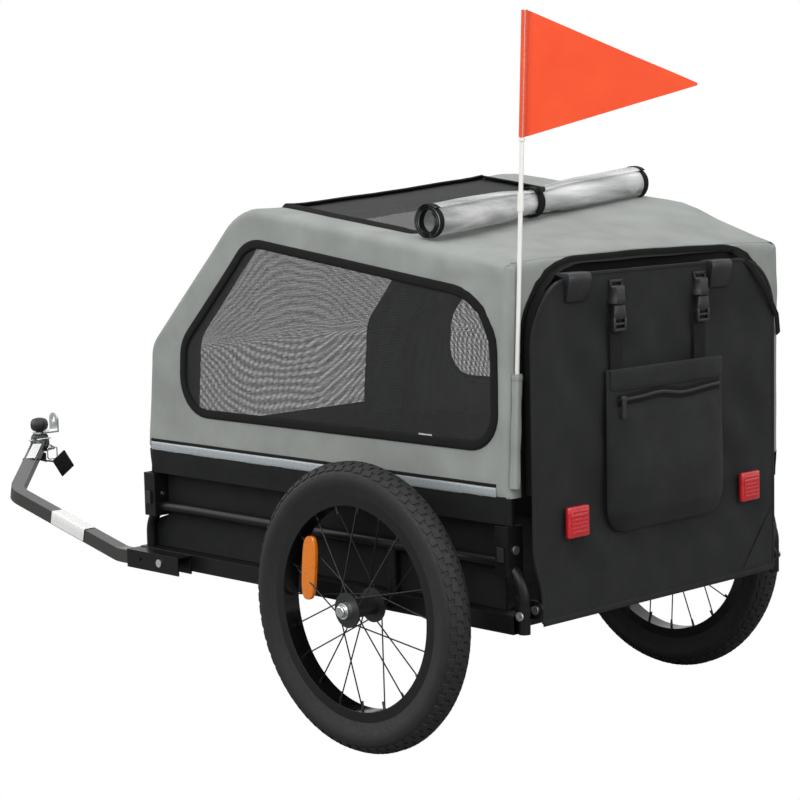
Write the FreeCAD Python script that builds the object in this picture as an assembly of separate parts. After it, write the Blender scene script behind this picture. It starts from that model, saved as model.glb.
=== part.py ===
# Dog trailer that is towed behind a bicycle: a folding cloth cabin on two spoked wheels.
# Millimetres. The front faces -Y, the left side is +X and the wheels stand on Z = 0.
import FreeCAD, Part
import math
import os

V = FreeCAD.Vector
X, Y, Z = V(1, 0, 0), V(0, 1, 0), V(0, 0, 1)

# Clearances
RUN = 0.05
SEAT = 0.2
CLEAR = 0.4

# Wheels: 16-inch, bead seat 305 mm
WHEEL_R = 200.0
AXLE_Z = WHEEL_R
TYRE_W = 44.0
TYRE_WALL = 5.0
TYRE_HEIGHT = 41.5
RIM_R = WHEEL_R - TYRE_HEIGHT
RIM_W = 28.0
RIM_DEPTH = 17.5
RIM_WALL = 3.0
RIM_WELL = 11.5
HUB_LENGTH = 50.0
HUB_R = 13.0
HUB_FLANGE_R = 24.0
HUB_FLANGE = 3.0
BEARING_R = 11.0
BEARING_W = 8.0
AXLE_R = 6.0
AXLE_HEAD_R = 11.0
AXLE_HEAD = 8.0
BUTTON_R = 8.0
BUTTON_STEM_R = 3.0
BUTTON_STEM = 22.0
BUTTON_PROUD = 6.0
BUTTON_TRAVEL = 4.0
SPOKES = 20
SPOKE_R = 1.0
SPOKE_SWEEP = 38.0
REFLECTOR_LENGTH = 90.0
REFLECTOR_W = 28.0
REFLECTOR_T = 7.0
REFLECTOR_REACH = 0.655
REFLECTOR_ANGLE = 155.0

# Base frame
SIDE_X = 269.0
WHEEL_OUT = 64.0
TRACK_HALF = SIDE_X + WHEEL_OUT
RAIL = 25.0
RAIL_WALL = 1.6
FRONT_LEG_Y = -520.0
REAR_LEG_Y = 218.0
RAIL_AHEAD = 29.0
RAIL_FRONT = FRONT_LEG_Y - RAIL_AHEAD
FRONT_TUBE_AHEAD = 16.0
FRONT_TUBE_Y = FRONT_LEG_Y - FRONT_TUBE_AHEAD
REAR_TUBE_AHEAD = 18.0
REAR_TUBE_Y = REAR_LEG_Y - REAR_TUBE_AHEAD
RECEIVER_R = 10.0
RECEIVER_GAP = 6.0
RECEIVER_OUT = TRACK_HALF - HUB_LENGTH / 2 - RECEIVER_GAP
LOOP_R = 8.0
LOOP_WALL = 1.5
POST_STEP = 0.5
LOOP_RISE = 78.0
LOOP_Z = AXLE_Z + LOOP_RISE
LOOP_FRONT_Y = FRONT_TUBE_Y
LOOP_BEHIND = 25.0
LOOP_REAR_Y = REAR_LEG_Y + LOOP_BEHIND
LOOP_FOOT_DROP = 12.0
LOOP_FOOT_Z = AXLE_Z - LOOP_FOOT_DROP
LOOP_BEND = 45.0
FLOOR_T = 4.0
TUB_T = 2.5
TUB_GAP = 0.6

# Side arches and their pivots
ARCH_R = 8.5
ARCH_WALL = 1.5
EYE_STEP = 0.3
PIVOT_RISE = 97.0
PIVOT_Z = AXLE_Z + PIVOT_RISE
KNEE_BACK = 20.0
KNEE_RISE = 223.0
CROWN_BACK = 228.0
CROWN_RISE = 430.0
REAR_RISE = 364.0
KNEE = (FRONT_LEG_Y + KNEE_BACK, PIVOT_Z + KNEE_RISE)
CROWN = (FRONT_LEG_Y + CROWN_BACK, PIVOT_Z + CROWN_RISE)
REAR_TOP = (REAR_LEG_Y, PIVOT_Z + REAR_RISE)
KNEE_BEND = 35.0
CROWN_BEND = 90.0
REAR_BEND = 55.0
BOLT_R = 3.0
BOLT_HEAD_R = 6.0
BOLT_HEAD = 1.8
NUT_R = 5.5
NUT_T = 4.5

# Corner brackets
BRACKET_T = 2.5
BRACKET_DROP = 34.0
BRACKET_BOTTOM = PIVOT_Z - BRACKET_DROP
BRACKET_RISE = 32.0
BRACKET_TOP = PIVOT_Z + BRACKET_RISE
BRACKET_IN = 14.0
LOCK_W = 12.0
LOCK_H = 20.0
LOCK_DROP = 5.0
LOCK_Z = PIVOT_Z - LOCK_DROP
LOCK_PROUD = 3.0
LOCK_TRAVEL = 3.0
WEB_ROOM = LOCK_TRAVEL + SEAT + 2 * CLEAR

# Cloth covers
CLOTH = 2.0
HEM_RISE = 68.0
HEM_Z = PIVOT_Z + HEM_RISE
HEM_GAP = 3.0
SILL_RISE = 55.0
WINDOW_SILL = HEM_Z + SILL_RISE
WINDOW_FRONT_BORDER = 85.0
WINDOW_TOP_BORDER = 44.0
WINDOW_REAR_BORDER = 24.0
WINDOW_BEND = 40.0
MESH_T = 0.8
ROOF_SEAM_Y = -335.0
MESH_BORDER = 44.0
ROOF_MESH_FRONT = -262.0
ROOF_MESH_REAR = 2.0
ROOF_OVERHANG = 8.0
ROOF_REAR_Y = REAR_LEG_Y + ROOF_OVERHANG
FRONT_MESH_DROP = 87.0
FRONT_MESH_TOP = CROWN[1] - FRONT_MESH_DROP

# Rolled rain cover on the roof
ROLL_R = 25.0
ROLL_WAIST_R = 19.0
ROLL_BORE_R = 14.0
ROLL_INSET = 13.0
ROLL_HALF = SIDE_X - ROLL_INSET
ROLL_LEFT_Y = 62.0
ROLL_RIGHT_Y = 5.0
ROLL_PINCH = 60.0

# Rear door
DOOR_BEHIND = 31.0
DOOR_Y = REAR_LEG_Y + DOOR_BEHIND
HINGE_RISE = 18.0
HINGE_Z = AXLE_Z + HINGE_RISE
DOOR_TUBE_R = 7.0
DOOR_TUBE_WALL = 1.2
DOOR_HEM = 10.0
DOOR_BEND = 55.0
DOOR_INSET = 21.0
DOOR_HALF = SIDE_X - DOOR_INSET
DOOR_LEG_X = DOOR_HALF - DOOR_HEM
DOOR_BOTTOM = AXLE_Z
DOOR_DROP = 11.0
DOOR_TOP = REAR_TOP[1] - DOOR_DROP
DOOR_TUBE_TOP = DOOR_TOP - DOOR_HEM
DOOR_T = 2.8
DOOR_CORNER = 60.0
LUG_T = 4.0
LUG_GAP = 2.0
LUG_HALF = 12.0
TAB_INSET = 99.0
TAB_X = DOOR_HALF - TAB_INSET
TAB_SHIFT = 30.0
TAB_W = 44.0
TAB_DROP = 36.0
TAB_T = 3.0
RED_INSET = 63.0
RED_X = DOOR_HALF - RED_INSET
RED_DROP = 323.0
RED_Z = DOOR_TOP - RED_DROP
RED_SIDE = 42.0
RED_T = 8.0

# Bag that hangs on the door
BAG_INSET = 125.0
BAG_HALF = DOOR_HALF - BAG_INSET
BAG_DROP = 130.0
BAG_TOP = DOOR_TOP - BAG_DROP
BAG_HEIGHT = 220.0
BAG_BOTTOM = BAG_TOP - BAG_HEIGHT
BAG_T = 26.0
BAG_ROUND = 9.0
STRAP_W = 25.0
STRAP_T = 1.4
LEFT_STRAP_X = 100.0
RIGHT_STRAP_X = -77.0
BUCKLE_W = 26.0
BUCKLE_T = 9.0
BUCKLE_WALL = 1.8
BUCKLE_DROP = 10.0
BUCKLE_TOP = DOOR_TOP - BUCKLE_DROP
BUCKLE_UPPER = 34.0
BUCKLE_SPLIT = BUCKLE_TOP - BUCKLE_UPPER
BUCKLE_LOWER = 36.0
BUCKLE_BOTTOM = BUCKLE_SPLIT - BUCKLE_LOWER
PRONG_W = 4.0
PRONG_DEPTH = 22.0
ZIP_DROP = 39.0
ZIP_Z = BAG_TOP - ZIP_DROP
ZIP_PULL_W = 9.0
ZIP_PULL_H = 26.0
ZIP_PULL_T = 2.5
ZIP_END_GAP = 14.0

# Flag
POLE_OUT = 5.0
POLE_X = SIDE_X + POLE_OUT
POLE_BEHIND = 16.5
POLE_Y = REAR_LEG_Y + POLE_BEHIND
POLE_R = 3.0
POLE_RISE = 17.0
POLE_BOTTOM = HEM_Z + POLE_RISE
POLE_TOP = 990.0
POLE_LEAN = 3.0
FERRULE_R = 4.2
FERRULE_LENGTH = 24.0
FERRULE_DROP = 92.0
POCKET_HEIGHT = 145.0
POCKET_TOP = POLE_BOTTOM + POCKET_HEIGHT
POCKET_HALF = 6.2
PENNANT_EDGE = 160.0
PENNANT_LENGTH = 220.0
PENNANT_T = 1.0
PENNANT_SLEEVE = 1.2
PENNANT_TURN = 136.0
PENNANT_TIP_DROP = 8.0
TIP_CAP = 3.0
FERRULE_Z = POLE_TOP - PENNANT_EDGE - TIP_CAP - FERRULE_DROP

# Tow arm and hitch
TOW_DROP = 2.0
TOW_Z = AXLE_Z - TOW_DROP
TOW_SIDE = 21.0
TOW_WALL = 1.6
TOW_BOLT_Y = -470.0
TOW_HOLE_GAP = 45.0
TOW_HOLE_Y = TOW_BOLT_Y - TOW_HOLE_GAP
SLEEVE_T = 2.5
SLEEVE_AHEAD = 34.0
SLEEVE_FRONT = TOW_HOLE_Y - SLEEVE_AHEAD
SLEEVE_BEHIND = 45.0
SLEEVE_REAR = TOW_BOLT_Y + SLEEVE_BEHIND
SLEEVE_DROP = 4.0
TOW_STRAIGHT = 29.0
TOW_TURN_AHEAD = 391.0
TOW_TURN_RISE = 65.0
TOW_END_X = 100.0
TOW_END_AHEAD = 596.0
TOW_END_RISE = 110.0
TOW_RISE = (SLEEVE_FRONT - TOW_STRAIGHT, TOW_Z)
TOW_TURN = (TOW_BOLT_Y - TOW_TURN_AHEAD, TOW_Z + TOW_TURN_RISE)
TOW_END = (TOW_END_X, TOW_BOLT_Y - TOW_END_AHEAD, TOW_Z + TOW_END_RISE)
TOW_RISE_BEND = 60.0
TOW_TURN_BEND = 55.0
HEAD_R = 16.0
HEAD_H = 31.0
HEAD_ROUND = 6.0
NECK_R = 7.0
NECK_H = 8.0
KNOB_R = 11.0
KNOB_H = 19.0
PLATE_T = 3.0
PLATE_W = 24.0
PLATE_REACH = 33.0
PLATE_RISE = 34.0
BIKE_AXLE_R = 5.2
PIN_R = 3.0
PIN_HEAD_R = 5.0
PIN_HEAD = 4.0
PIN_TAIL = 9.0
CLASP_WIRE_R = 1.1
CLASP_HALF = 10.0
CLASP_DROP = 20.0
TIE_W = 20.0
TIE_T = 2.4
TIE_PATH = [(0, 0, -16), (-6, 26, -40), (-14, 54, -36), (-18, 62, -18)]
TIE_BENDS = [0, 12, 12, 7, 0]


def mirrored(shape):
    return shape.mirror(V(0, 0, 0), X)


def block(x0, x1, y0, y1, z0, z1):
    return Part.makeBox(x1 - x0, y1 - y0, z1 - z0, V(x0, y0, z0))


def rod(start, direction, length, radius):
    return Part.makeCylinder(radius, length, start, direction)


def ring(start, direction, length, outer, inner):
    return rod(start, direction, length, outer).cut(rod(start, direction, length, inner))


def corner(before, point, after, radius):
    """Tangent points and middle of the arc that rounds one corner of a route."""
    back = (before - point).normalize()
    ahead = (after - point).normalize()
    half = back.getAngle(ahead) / 2
    reach = radius / math.tan(half)
    inward = (back + ahead).normalize()
    middle = point + inward * (radius / math.sin(half) - radius)
    return point + back * reach, middle, point + ahead * reach


def route(points, radii, closed=False):
    """Wire of straight runs joined by tangent arcs; a radius of 0 keeps the corner."""
    count = len(points)
    rounded = []
    for i, point in enumerate(points):
        if radii[i] > 0:
            rounded.append(corner(points[i - 1], point, points[(i + 1) % count], radii[i]))
        else:
            rounded.append((point, None, point))
    edges = []
    for i, (entry, middle, leave) in enumerate(rounded):
        if middle is not None:
            edges.append(Part.Arc(entry, middle, leave).toShape())
        if closed or i + 1 < count:
            edges.append(Part.LineSegment(leave, rounded[(i + 1) % count][0]).toShape())
    return Part.Wire(edges)


def swept(points, radii, section):
    """Solid swept along an open route; the section is a wire at the first point."""
    return route(points, radii).makePipeShell([section], True, False)


def round_bar(points, radii, radius):
    start = Part.Wire(Part.makeCircle(radius, points[0], points[1] - points[0]))
    return swept(points, radii, start)


def bent_tube(points, hollow, radii, radius, wall):
    """Round tube along a route; the hollow runs between its own end points."""
    return round_bar(points, radii, radius).cut(round_bar(hollow, radii, radius - wall))


def slab(points, radii, thickness):
    """Flat closed outline given thickness along a vector."""
    return Part.Face(route(points, radii, True)).extrude(thickness)


def moved_edges(points, distances):
    """Outline (y, z), clockwise, with each edge moved outwards by its own distance."""
    lines = []
    count = len(points)
    for i in range(count):
        y0, z0 = points[i]
        y1, z1 = points[(i + 1) % count]
        length = math.hypot(y1 - y0, z1 - z0)
        out = (-(z1 - z0) / length, (y1 - y0) / length)
        lines.append((y0 + out[0] * distances[i], z0 + out[1] * distances[i], y1 - y0, z1 - z0))
    moved = []
    for i in range(count):
        y0, z0, dy0, dz0 = lines[i - 1]
        y1, z1, dy1, dz1 = lines[i]
        share = ((y1 - y0) * dz1 - (z1 - z0) * dy1) / (dy0 * dz1 - dz0 * dy1)
        moved.append((y0 + dy0 * share, z0 + dz0 * share))
    return moved


def side_slab(outline, radii, x0, x1):
    points = [V(x0, y, z) for y, z in outline]
    return slab(points, radii, V(x1 - x0, 0, 0))


# Places that several pieces share
RAIL_HALF = RAIL / 2
RAIL_TOP = AXLE_Z + RAIL_HALF
RAIL_REAR = LOOP_REAR_Y - LOOP_R - SEAT
INNER_X = SIDE_X - RAIL_HALF
FLOOR_TOP = RAIL_TOP + FLOOR_T
HUB_HALF = HUB_LENGTH / 2
PANEL_IN = SIDE_X + ARCH_R + SEAT
PANEL_OUT = PANEL_IN + CLOTH
COVER = ARCH_R + SEAT
TUB_TOP = HEM_Z - HEM_GAP
TUB_X = SIDE_X - ARCH_R - TUB_GAP - TUB_T
MESH_HALF = SIDE_X - MESH_BORDER
ARCH_LINE = [(FRONT_LEG_Y, PIVOT_Z), KNEE, CROWN, REAR_TOP, (REAR_LEG_Y, PIVOT_Z)]
FLANGE_GAP = ARCH_R + CLEAR
FRONT_LEAN = (BRACKET_TOP - PIVOT_Z) * (KNEE[0] - FRONT_LEG_Y) / (KNEE[1] - PIVOT_Z)
FRONT_INNER = FRONT_LEG_Y + FLANGE_GAP + FRONT_LEAN + BRACKET_T
REAR_INNER = REAR_LEG_Y - FLANGE_GAP - BRACKET_T
PIVOTS = [FRONT_LEG_Y, REAR_LEG_Y]
DOOR_FACE = DOOR_Y + DOOR_TUBE_R + SEAT + DOOR_T
STRAP_FACE = DOOR_FACE + SEAT + STRAP_T
BAG_FACE = STRAP_FACE + SEAT
TOW_X = SIDE_X + RAIL_HALF + SLEEVE_T + CLEAR + TOW_SIDE / 2


def tyre():
    section_r = TYRE_W / 2
    middle_r = WHEEL_R - section_r
    centre = V(TRACK_HALF, 0, AXLE_Z)
    bead_half = RIM_W / 2 - RIM_WALL - SEAT
    bead_r = RIM_R - RIM_WELL + SEAT
    casing = Part.makeTorus(middle_r, section_r, centre, X)
    bead = ring(centre - X * bead_half, X, 2 * bead_half, middle_r - TYRE_WALL, bead_r)
    air = Part.makeTorus(middle_r, section_r - TYRE_WALL, centre, X)
    gap_half = bead_half - TYRE_WALL
    gap = ring(centre - X * gap_half, X, 2 * gap_half, middle_r, bead_r - SEAT)
    return casing.fuse(bead).cut(air).cut(gap).removeSplitter()


def rim():
    centre = V(TRACK_HALF, 0, AXLE_Z)
    half = RIM_W / 2
    well_half = half - RIM_WALL
    hoop = ring(centre - X * half, X, RIM_W, RIM_R, RIM_R - RIM_DEPTH)
    well = ring(centre - X * well_half, X, 2 * well_half, RIM_R + SEAT, RIM_R - RIM_WELL)
    return hoop.cut(well)


def hub():
    start = V(TRACK_HALF - HUB_HALF, 0, AXLE_Z)
    shell = rod(start, X, HUB_LENGTH, HUB_R)
    shell = shell.fuse(rod(start, X, HUB_FLANGE, HUB_FLANGE_R))
    shell = shell.fuse(rod(start + X * (HUB_LENGTH - HUB_FLANGE), X, HUB_FLANGE, HUB_FLANGE_R))
    shell = shell.cut(rod(start, X, HUB_LENGTH, AXLE_R + CLEAR))
    for offset in (0, HUB_LENGTH - BEARING_W):
        shell = shell.cut(rod(start + X * offset, X, BEARING_W, BEARING_R))
    return shell


def hub_bearings():
    start = V(TRACK_HALF - HUB_HALF, 0, AXLE_Z)
    places = (start, start + X * (HUB_LENGTH - BEARING_W))
    return Part.makeCompound([ring(place, X, BEARING_W, BEARING_R, AXLE_R + RUN) for place in places])


def spokes():
    """Tangent spokes, laced in turn to the two hub flanges."""
    wires = []
    hub_r = HUB_FLANGE_R - HUB_FLANGE
    rim_r = RIM_R - RIM_DEPTH + SPOKE_R
    for i in range(SPOKES):
        side = 1 if i % 2 else -1
        sweep = SPOKE_SWEEP if i % 4 < 2 else -SPOKE_SWEEP
        turn = math.radians(360.0 * i / SPOKES)
        tail = turn + math.radians(sweep)
        flange_x = TRACK_HALF + side * (HUB_HALF - HUB_FLANGE / 2)
        head = V(flange_x, hub_r * math.cos(tail), AXLE_Z + hub_r * math.sin(tail))
        nipple = V(TRACK_HALF, rim_r * math.cos(turn), AXLE_Z + rim_r * math.sin(turn))
        wires.append(rod(head, nipple - head, (nipple - head).Length, SPOKE_R))
    return Part.makeCompound(wires)


def spoke_reflector():
    """Flat amber reflector clipped on the outer spokes, its long side upright."""
    flange_x = TRACK_HALF + HUB_HALF - HUB_FLANGE / 2
    reach = RIM_R * REFLECTOR_REACH
    angle = math.radians(REFLECTOR_ANGLE)
    middle_x = flange_x - (flange_x - TRACK_HALF) * reach / (RIM_R - RIM_DEPTH)
    plate = block(-REFLECTOR_T / 2, REFLECTOR_T / 2, -REFLECTOR_W / 2, REFLECTOR_W / 2,
                  -REFLECTOR_LENGTH / 2, REFLECTOR_LENGTH / 2)
    plate = plate.makeFillet(REFLECTOR_T / 3, plate.Edges)
    plate.translate(V(middle_x, reach * math.cos(angle), AXLE_Z + reach * math.sin(angle)))
    return plate


def wheel_axle():
    """Push-button axle: pin through the hub into the receiver, hollow for the button's stem."""
    inner = INNER_X + SEAT
    outer = TRACK_HALF + HUB_HALF + SEAT
    pin = rod(V(inner, 0, AXLE_Z), X, outer - inner, AXLE_R)
    head = rod(V(outer, 0, AXLE_Z), X, AXLE_HEAD, AXLE_HEAD_R)
    end = outer + AXLE_HEAD
    well = rod(V(end - BUTTON_TRAVEL, 0, AXLE_Z), X, BUTTON_TRAVEL, BUTTON_R + CLEAR)
    depth = BUTTON_STEM + 2 * BUTTON_TRAVEL
    bore = rod(V(end - depth, 0, AXLE_Z), X, depth, BUTTON_STEM_R + RUN)
    return pin.fuse(head).cut(well).cut(bore)


def release_button():
    end = TRACK_HALF + HUB_HALF + SEAT + AXLE_HEAD
    cap = rod(V(end, 0, AXLE_Z), X, BUTTON_PROUD, BUTTON_R)
    outer_edges = [edge for edge in cap.Edges if edge.CenterOfMass.x > end + BUTTON_PROUD - SEAT]
    cap = cap.makeFillet(BUTTON_PROUD / 3, outer_edges[:1])
    return cap.fuse(rod(V(end - BUTTON_STEM, 0, AXLE_Z), X, BUTTON_STEM, BUTTON_STEM_R))


def square_tube(start, end, side, wall):
    """Straight hollow square tube along X or Y between two points on its axis."""
    low = V(min(start.x, end.x), min(start.y, end.y), start.z)
    size = end - start
    across = X if abs(size.y) > abs(size.x) else Y
    length = size.Length
    run = V(abs(size.x), abs(size.y), 0)
    def bar(half):
        origin = low - across * half - Z * half
        corners = [origin, origin + across * 2 * half, origin + across * 2 * half + Z * 2 * half]
        corners.append(origin + Z * 2 * half)
        return Part.Face(Part.makePolygon(corners + [origin])).extrude(run.normalize() * length)
    return bar(side / 2).cut(bar(side / 2 - wall))


def side_rail():
    """Square rail with the bush that receives a wheel's axle welded through it."""
    rail = square_tube(V(SIDE_X, RAIL_FRONT, AXLE_Z), V(SIDE_X, RAIL_REAR, AXLE_Z), RAIL, RAIL_WALL)
    bush_length = RECEIVER_OUT - INNER_X
    rail = rail.fuse(rod(V(INNER_X, 0, AXLE_Z), X, bush_length, RECEIVER_R))
    return rail.cut(rod(V(INNER_X, 0, AXLE_Z), X, bush_length, AXLE_R + SEAT))


def cross_tubes():
    """Front, axle and rear cross tubes; the rear one carries the door's two hinge lugs."""
    tubes = []
    for place in (FRONT_TUBE_Y, 0, REAR_TUBE_Y):
        tubes.append(square_tube(V(-INNER_X, place, AXLE_Z), V(INNER_X, place, AXLE_Z), RAIL, RAIL_WALL))
    lug_in = DOOR_HALF + LUG_GAP
    lug = block(lug_in, lug_in + LUG_T, REAR_TUBE_Y + RAIL_HALF, DOOR_Y,
                HINGE_Z - LUG_HALF, HINGE_Z + LUG_HALF)
    lug = lug.fuse(rod(V(lug_in, DOOR_Y, HINGE_Z), X, LUG_T, LUG_HALF))
    lug = lug.cut(rod(V(lug_in, DOOR_Y, HINGE_Z), X, LUG_T, BOLT_R + SEAT))
    tubes[2] = tubes[2].fuse(lug).fuse(mirrored(lug))
    return Part.makeCompound(tubes)


def loop_points():
    return [V(SIDE_X, LOOP_FRONT_Y, RAIL_TOP), V(SIDE_X, LOOP_FRONT_Y, LOOP_Z),
            V(SIDE_X, LOOP_REAR_Y, LOOP_Z), V(SIDE_X, LOOP_REAR_Y, LOOP_FOOT_Z)]


def side_loop():
    """Low guard tube above the rail, with a short post over the axle."""
    bends = [0, LOOP_BEND, LOOP_BEND, 0]
    outside = round_bar(loop_points(), bends, LOOP_R)
    outside = outside.fuse(rod(V(SIDE_X, 0, RAIL_TOP), Z, LOOP_Z - RAIL_TOP, LOOP_R - POST_STEP))
    bolt_hole = rod(V(SIDE_X - RAIL, LOOP_REAR_Y, RAIL_TOP), X, 2 * RAIL, BOLT_R + SEAT)
    return outside.cut(round_bar(loop_points(), bends, LOOP_R - LOOP_WALL)).cut(bolt_hole)


def floor_panel():
    front = FRONT_INNER + TUB_T + 2 * SEAT
    return block(-TUB_X + SEAT, TUB_X - SEAT, front, REAR_INNER - SEAT, RAIL_TOP, FLOOR_TOP)


def lower_tub():
    """Black cloth walls round the floor: two sides and the front, open to the rear door."""
    front = FRONT_INNER + SEAT
    rear = REAR_INNER - NUT_T - SEAT
    walls = block(-TUB_X - TUB_T, TUB_X + TUB_T, front, rear, RAIL_TOP, TUB_TOP)
    inside = block(-TUB_X, TUB_X, front + TUB_T, rear, RAIL_TOP, TUB_TOP)
    return walls.cut(inside)


def arch_tube():
    points = [V(SIDE_X, y, z) for y, z in ARCH_LINE]
    bends = [0, KNEE_BEND, CROWN_BEND, REAR_BEND, 0]
    lower = (points[1] - points[0]).normalize() * 2 * ARCH_R
    hollow = [points[0] + lower] + points[1:4] + [points[4] + Z * 2 * ARCH_R]
    tube = bent_tube(points, hollow, bends, ARCH_R, ARCH_WALL)
    eye_half = ARCH_R - EYE_STEP
    for pivot in PIVOTS:
        eye = rod(V(SIDE_X, pivot - eye_half, PIVOT_Z), Y, 2 * eye_half, ARCH_R)
        tube = tube.fuse(eye)
    bore_length = REAR_LEG_Y - FRONT_LEG_Y + 2 * RAIL
    return tube.cut(rod(V(SIDE_X, FRONT_LEG_Y - RAIL, PIVOT_Z), Y, bore_length, BOLT_R + RUN))


def corner_bracket(pivot, lean):
    """Pressed channel round an arch's leaning foot, open inside, saddled on the loop's bend."""
    y0 = pivot - FLANGE_GAP - BRACKET_T
    y1 = pivot + FLANGE_GAP + lean + BRACKET_T
    web_in = SIDE_X + ARCH_R + WEB_ROOM
    channel = block(SIDE_X - BRACKET_IN, web_in + BRACKET_T, y0, y1, BRACKET_BOTTOM, BRACKET_TOP)
    inside = block(SIDE_X - BRACKET_IN, web_in, pivot - FLANGE_GAP, pivot + FLANGE_GAP + lean,
                   BRACKET_BOTTOM, BRACKET_TOP)
    window = block(web_in, web_in + BRACKET_T, pivot - LOCK_W / 2, pivot + LOCK_W / 2,
                   LOCK_Z - LOCK_H / 2, LOCK_Z + LOCK_H / 2)
    channel = channel.cut(inside).cut(window)
    channel = channel.cut(round_bar(loop_points(), [0, LOOP_BEND, LOOP_BEND, 0], LOOP_R))
    return channel.cut(rod(V(SIDE_X, y0, PIVOT_Z), Y, y1 - y0, BOLT_R + SEAT))


def lock_button(pivot):
    """Spring button in the bracket's window; it is pushed in to free the arch."""
    web_in = SIDE_X + ARCH_R + WEB_ROOM
    half_w = LOCK_W / 2 - CLEAR
    half_h = LOCK_H / 2 - CLEAR
    return block(web_in - SEAT, web_in + BRACKET_T + LOCK_PROUD, pivot - half_w, pivot + half_w,
                 LOCK_Z - half_h, LOCK_Z + half_h)


def side_outline(out):
    """Cover's outline beside an arch, `out` beyond the tube's middle, down to the hem."""
    return moved_edges(ARCH_LINE, [out, out, out, out, PIVOT_Z - HEM_Z])


def side_bends(out):
    return [0, KNEE_BEND + out, CROWN_BEND + out, REAR_BEND + out, 0]


def window_outline():
    edge = COVER + CLOTH
    insets = [edge - WINDOW_FRONT_BORDER, edge - WINDOW_TOP_BORDER, edge - WINDOW_TOP_BORDER,
              edge - WINDOW_REAR_BORDER, PIVOT_Z - WINDOW_SILL]
    return moved_edges(ARCH_LINE, insets)


def side_panel():
    edge = COVER + CLOTH
    panel = side_slab(side_outline(edge), side_bends(edge), PANEL_IN, PANEL_OUT)
    return panel.cut(side_slab(window_outline(), [WINDOW_BEND] * 5, PANEL_IN, PANEL_OUT))


def window_mesh():
    middle = (PANEL_IN + PANEL_OUT) / 2
    return side_slab(window_outline(), [WINDOW_BEND] * 5, middle - MESH_T / 2, middle + MESH_T / 2)


def cover_band():
    """Cloth over the two arches from hem to hem, before it is cut into front and roof."""
    half = PANEL_IN - CLEAR
    outer = side_slab(side_outline(COVER + CLOTH), side_bends(COVER + CLOTH), -half, half)
    inner = side_slab(side_outline(COVER), side_bends(COVER), -half, half)
    return outer.cut(inner)


def mesh_hole_roof():
    return block(-MESH_HALF, MESH_HALF, ROOF_MESH_FRONT, ROOF_MESH_REAR, WINDOW_SILL, POLE_TOP)


def mesh_hole_front():
    return block(-MESH_HALF, MESH_HALF, RAIL_FRONT, ROOF_SEAM_Y, WINDOW_SILL, FRONT_MESH_TOP)


def roof_side():
    return block(-SIDE_X - RAIL, SIDE_X + RAIL, ROOF_SEAM_Y, ROOF_REAR_Y, WINDOW_SILL, POLE_TOP)


def front_side():
    return block(-SIDE_X - RAIL, SIDE_X + RAIL, RAIL_FRONT - RAIL, ROOF_SEAM_Y, HEM_Z, POLE_TOP)


def roof_height(y):
    """Top of the roof cloth above the straight run between crown and rear corner."""
    slope = (REAR_TOP[1] - CROWN[1]) / (REAR_TOP[0] - CROWN[0])
    rise = (COVER + CLOTH) * math.hypot(1, slope)
    return CROWN[1] + slope * (y - CROWN[0]) + rise


def rain_roll():
    """Clear rain cover rolled up on the roof, drawn in at the waist by its tie."""
    slope = (REAR_TOP[1] - CROWN[1]) / (REAR_TOP[0] - CROWN[0])
    lift = (ROLL_R + SEAT) * math.hypot(1, slope)
    left = V(ROLL_HALF, ROLL_LEFT_Y, roof_height(ROLL_LEFT_Y) + lift)
    right = V(-ROLL_HALF, ROLL_RIGHT_Y, roof_height(ROLL_RIGHT_Y) + lift)
    along = right - left
    half = along.Length / 2
    profile = [V(0, 0, 0), V(ROLL_R, 0, 0), V(ROLL_R, 0, half - ROLL_PINCH), V(ROLL_WAIST_R, 0, half)]
    profile += [V(ROLL_R, 0, half + ROLL_PINCH), V(ROLL_R, 0, 2 * half), V(0, 0, 2 * half)]
    blend = ROLL_PINCH / 2
    radii = [0, 0, blend, blend, blend, 0, 0]
    roll = Part.Face(route(profile, radii, True)).revolve(V(0, 0, 0), Z, 360)
    roll = roll.cut(rod(V(0, 0, 0), Z, 2 * half, ROLL_BORE_R))
    roll.Placement = FreeCAD.Placement(left, FreeCAD.Rotation(Z, along))
    return roll


def door_frame():
    points = [V(-DOOR_LEG_X, DOOR_Y, HINGE_Z), V(-DOOR_LEG_X, DOOR_Y, DOOR_TUBE_TOP),
              V(DOOR_LEG_X, DOOR_Y, DOOR_TUBE_TOP), V(DOOR_LEG_X, DOOR_Y, HINGE_Z)]
    bends = [0, DOOR_BEND, DOOR_BEND, 0]
    hollow = [points[0] + Z * 2 * DOOR_TUBE_R, points[1], points[2], points[3] + Z * 2 * DOOR_TUBE_R]
    frame = bent_tube(points, hollow, bends, DOOR_TUBE_R, DOOR_TUBE_WALL)
    eye_half = DOOR_TUBE_R - EYE_STEP
    for place in (-DOOR_LEG_X, DOOR_LEG_X):
        eye_end = V(place - eye_half, DOOR_Y, HINGE_Z)
        frame = frame.fuse(rod(eye_end, X, 2 * eye_half, DOOR_TUBE_R + SEAT / 2))
    return frame.cut(rod(V(-DOOR_HALF, DOOR_Y, HINGE_Z), X, 2 * DOOR_HALF, BOLT_R + RUN))


def door_panel():
    y = DOOR_FACE - DOOR_T
    points = [V(-DOOR_HALF, y, DOOR_BOTTOM), V(-DOOR_HALF, y, DOOR_TOP),
              V(DOOR_HALF, y, DOOR_TOP), V(DOOR_HALF, y, DOOR_BOTTOM)]
    return slab(points, [LUG_HALF, DOOR_CORNER, DOOR_CORNER, LUG_HALF], V(0, DOOR_T, 0))


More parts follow.
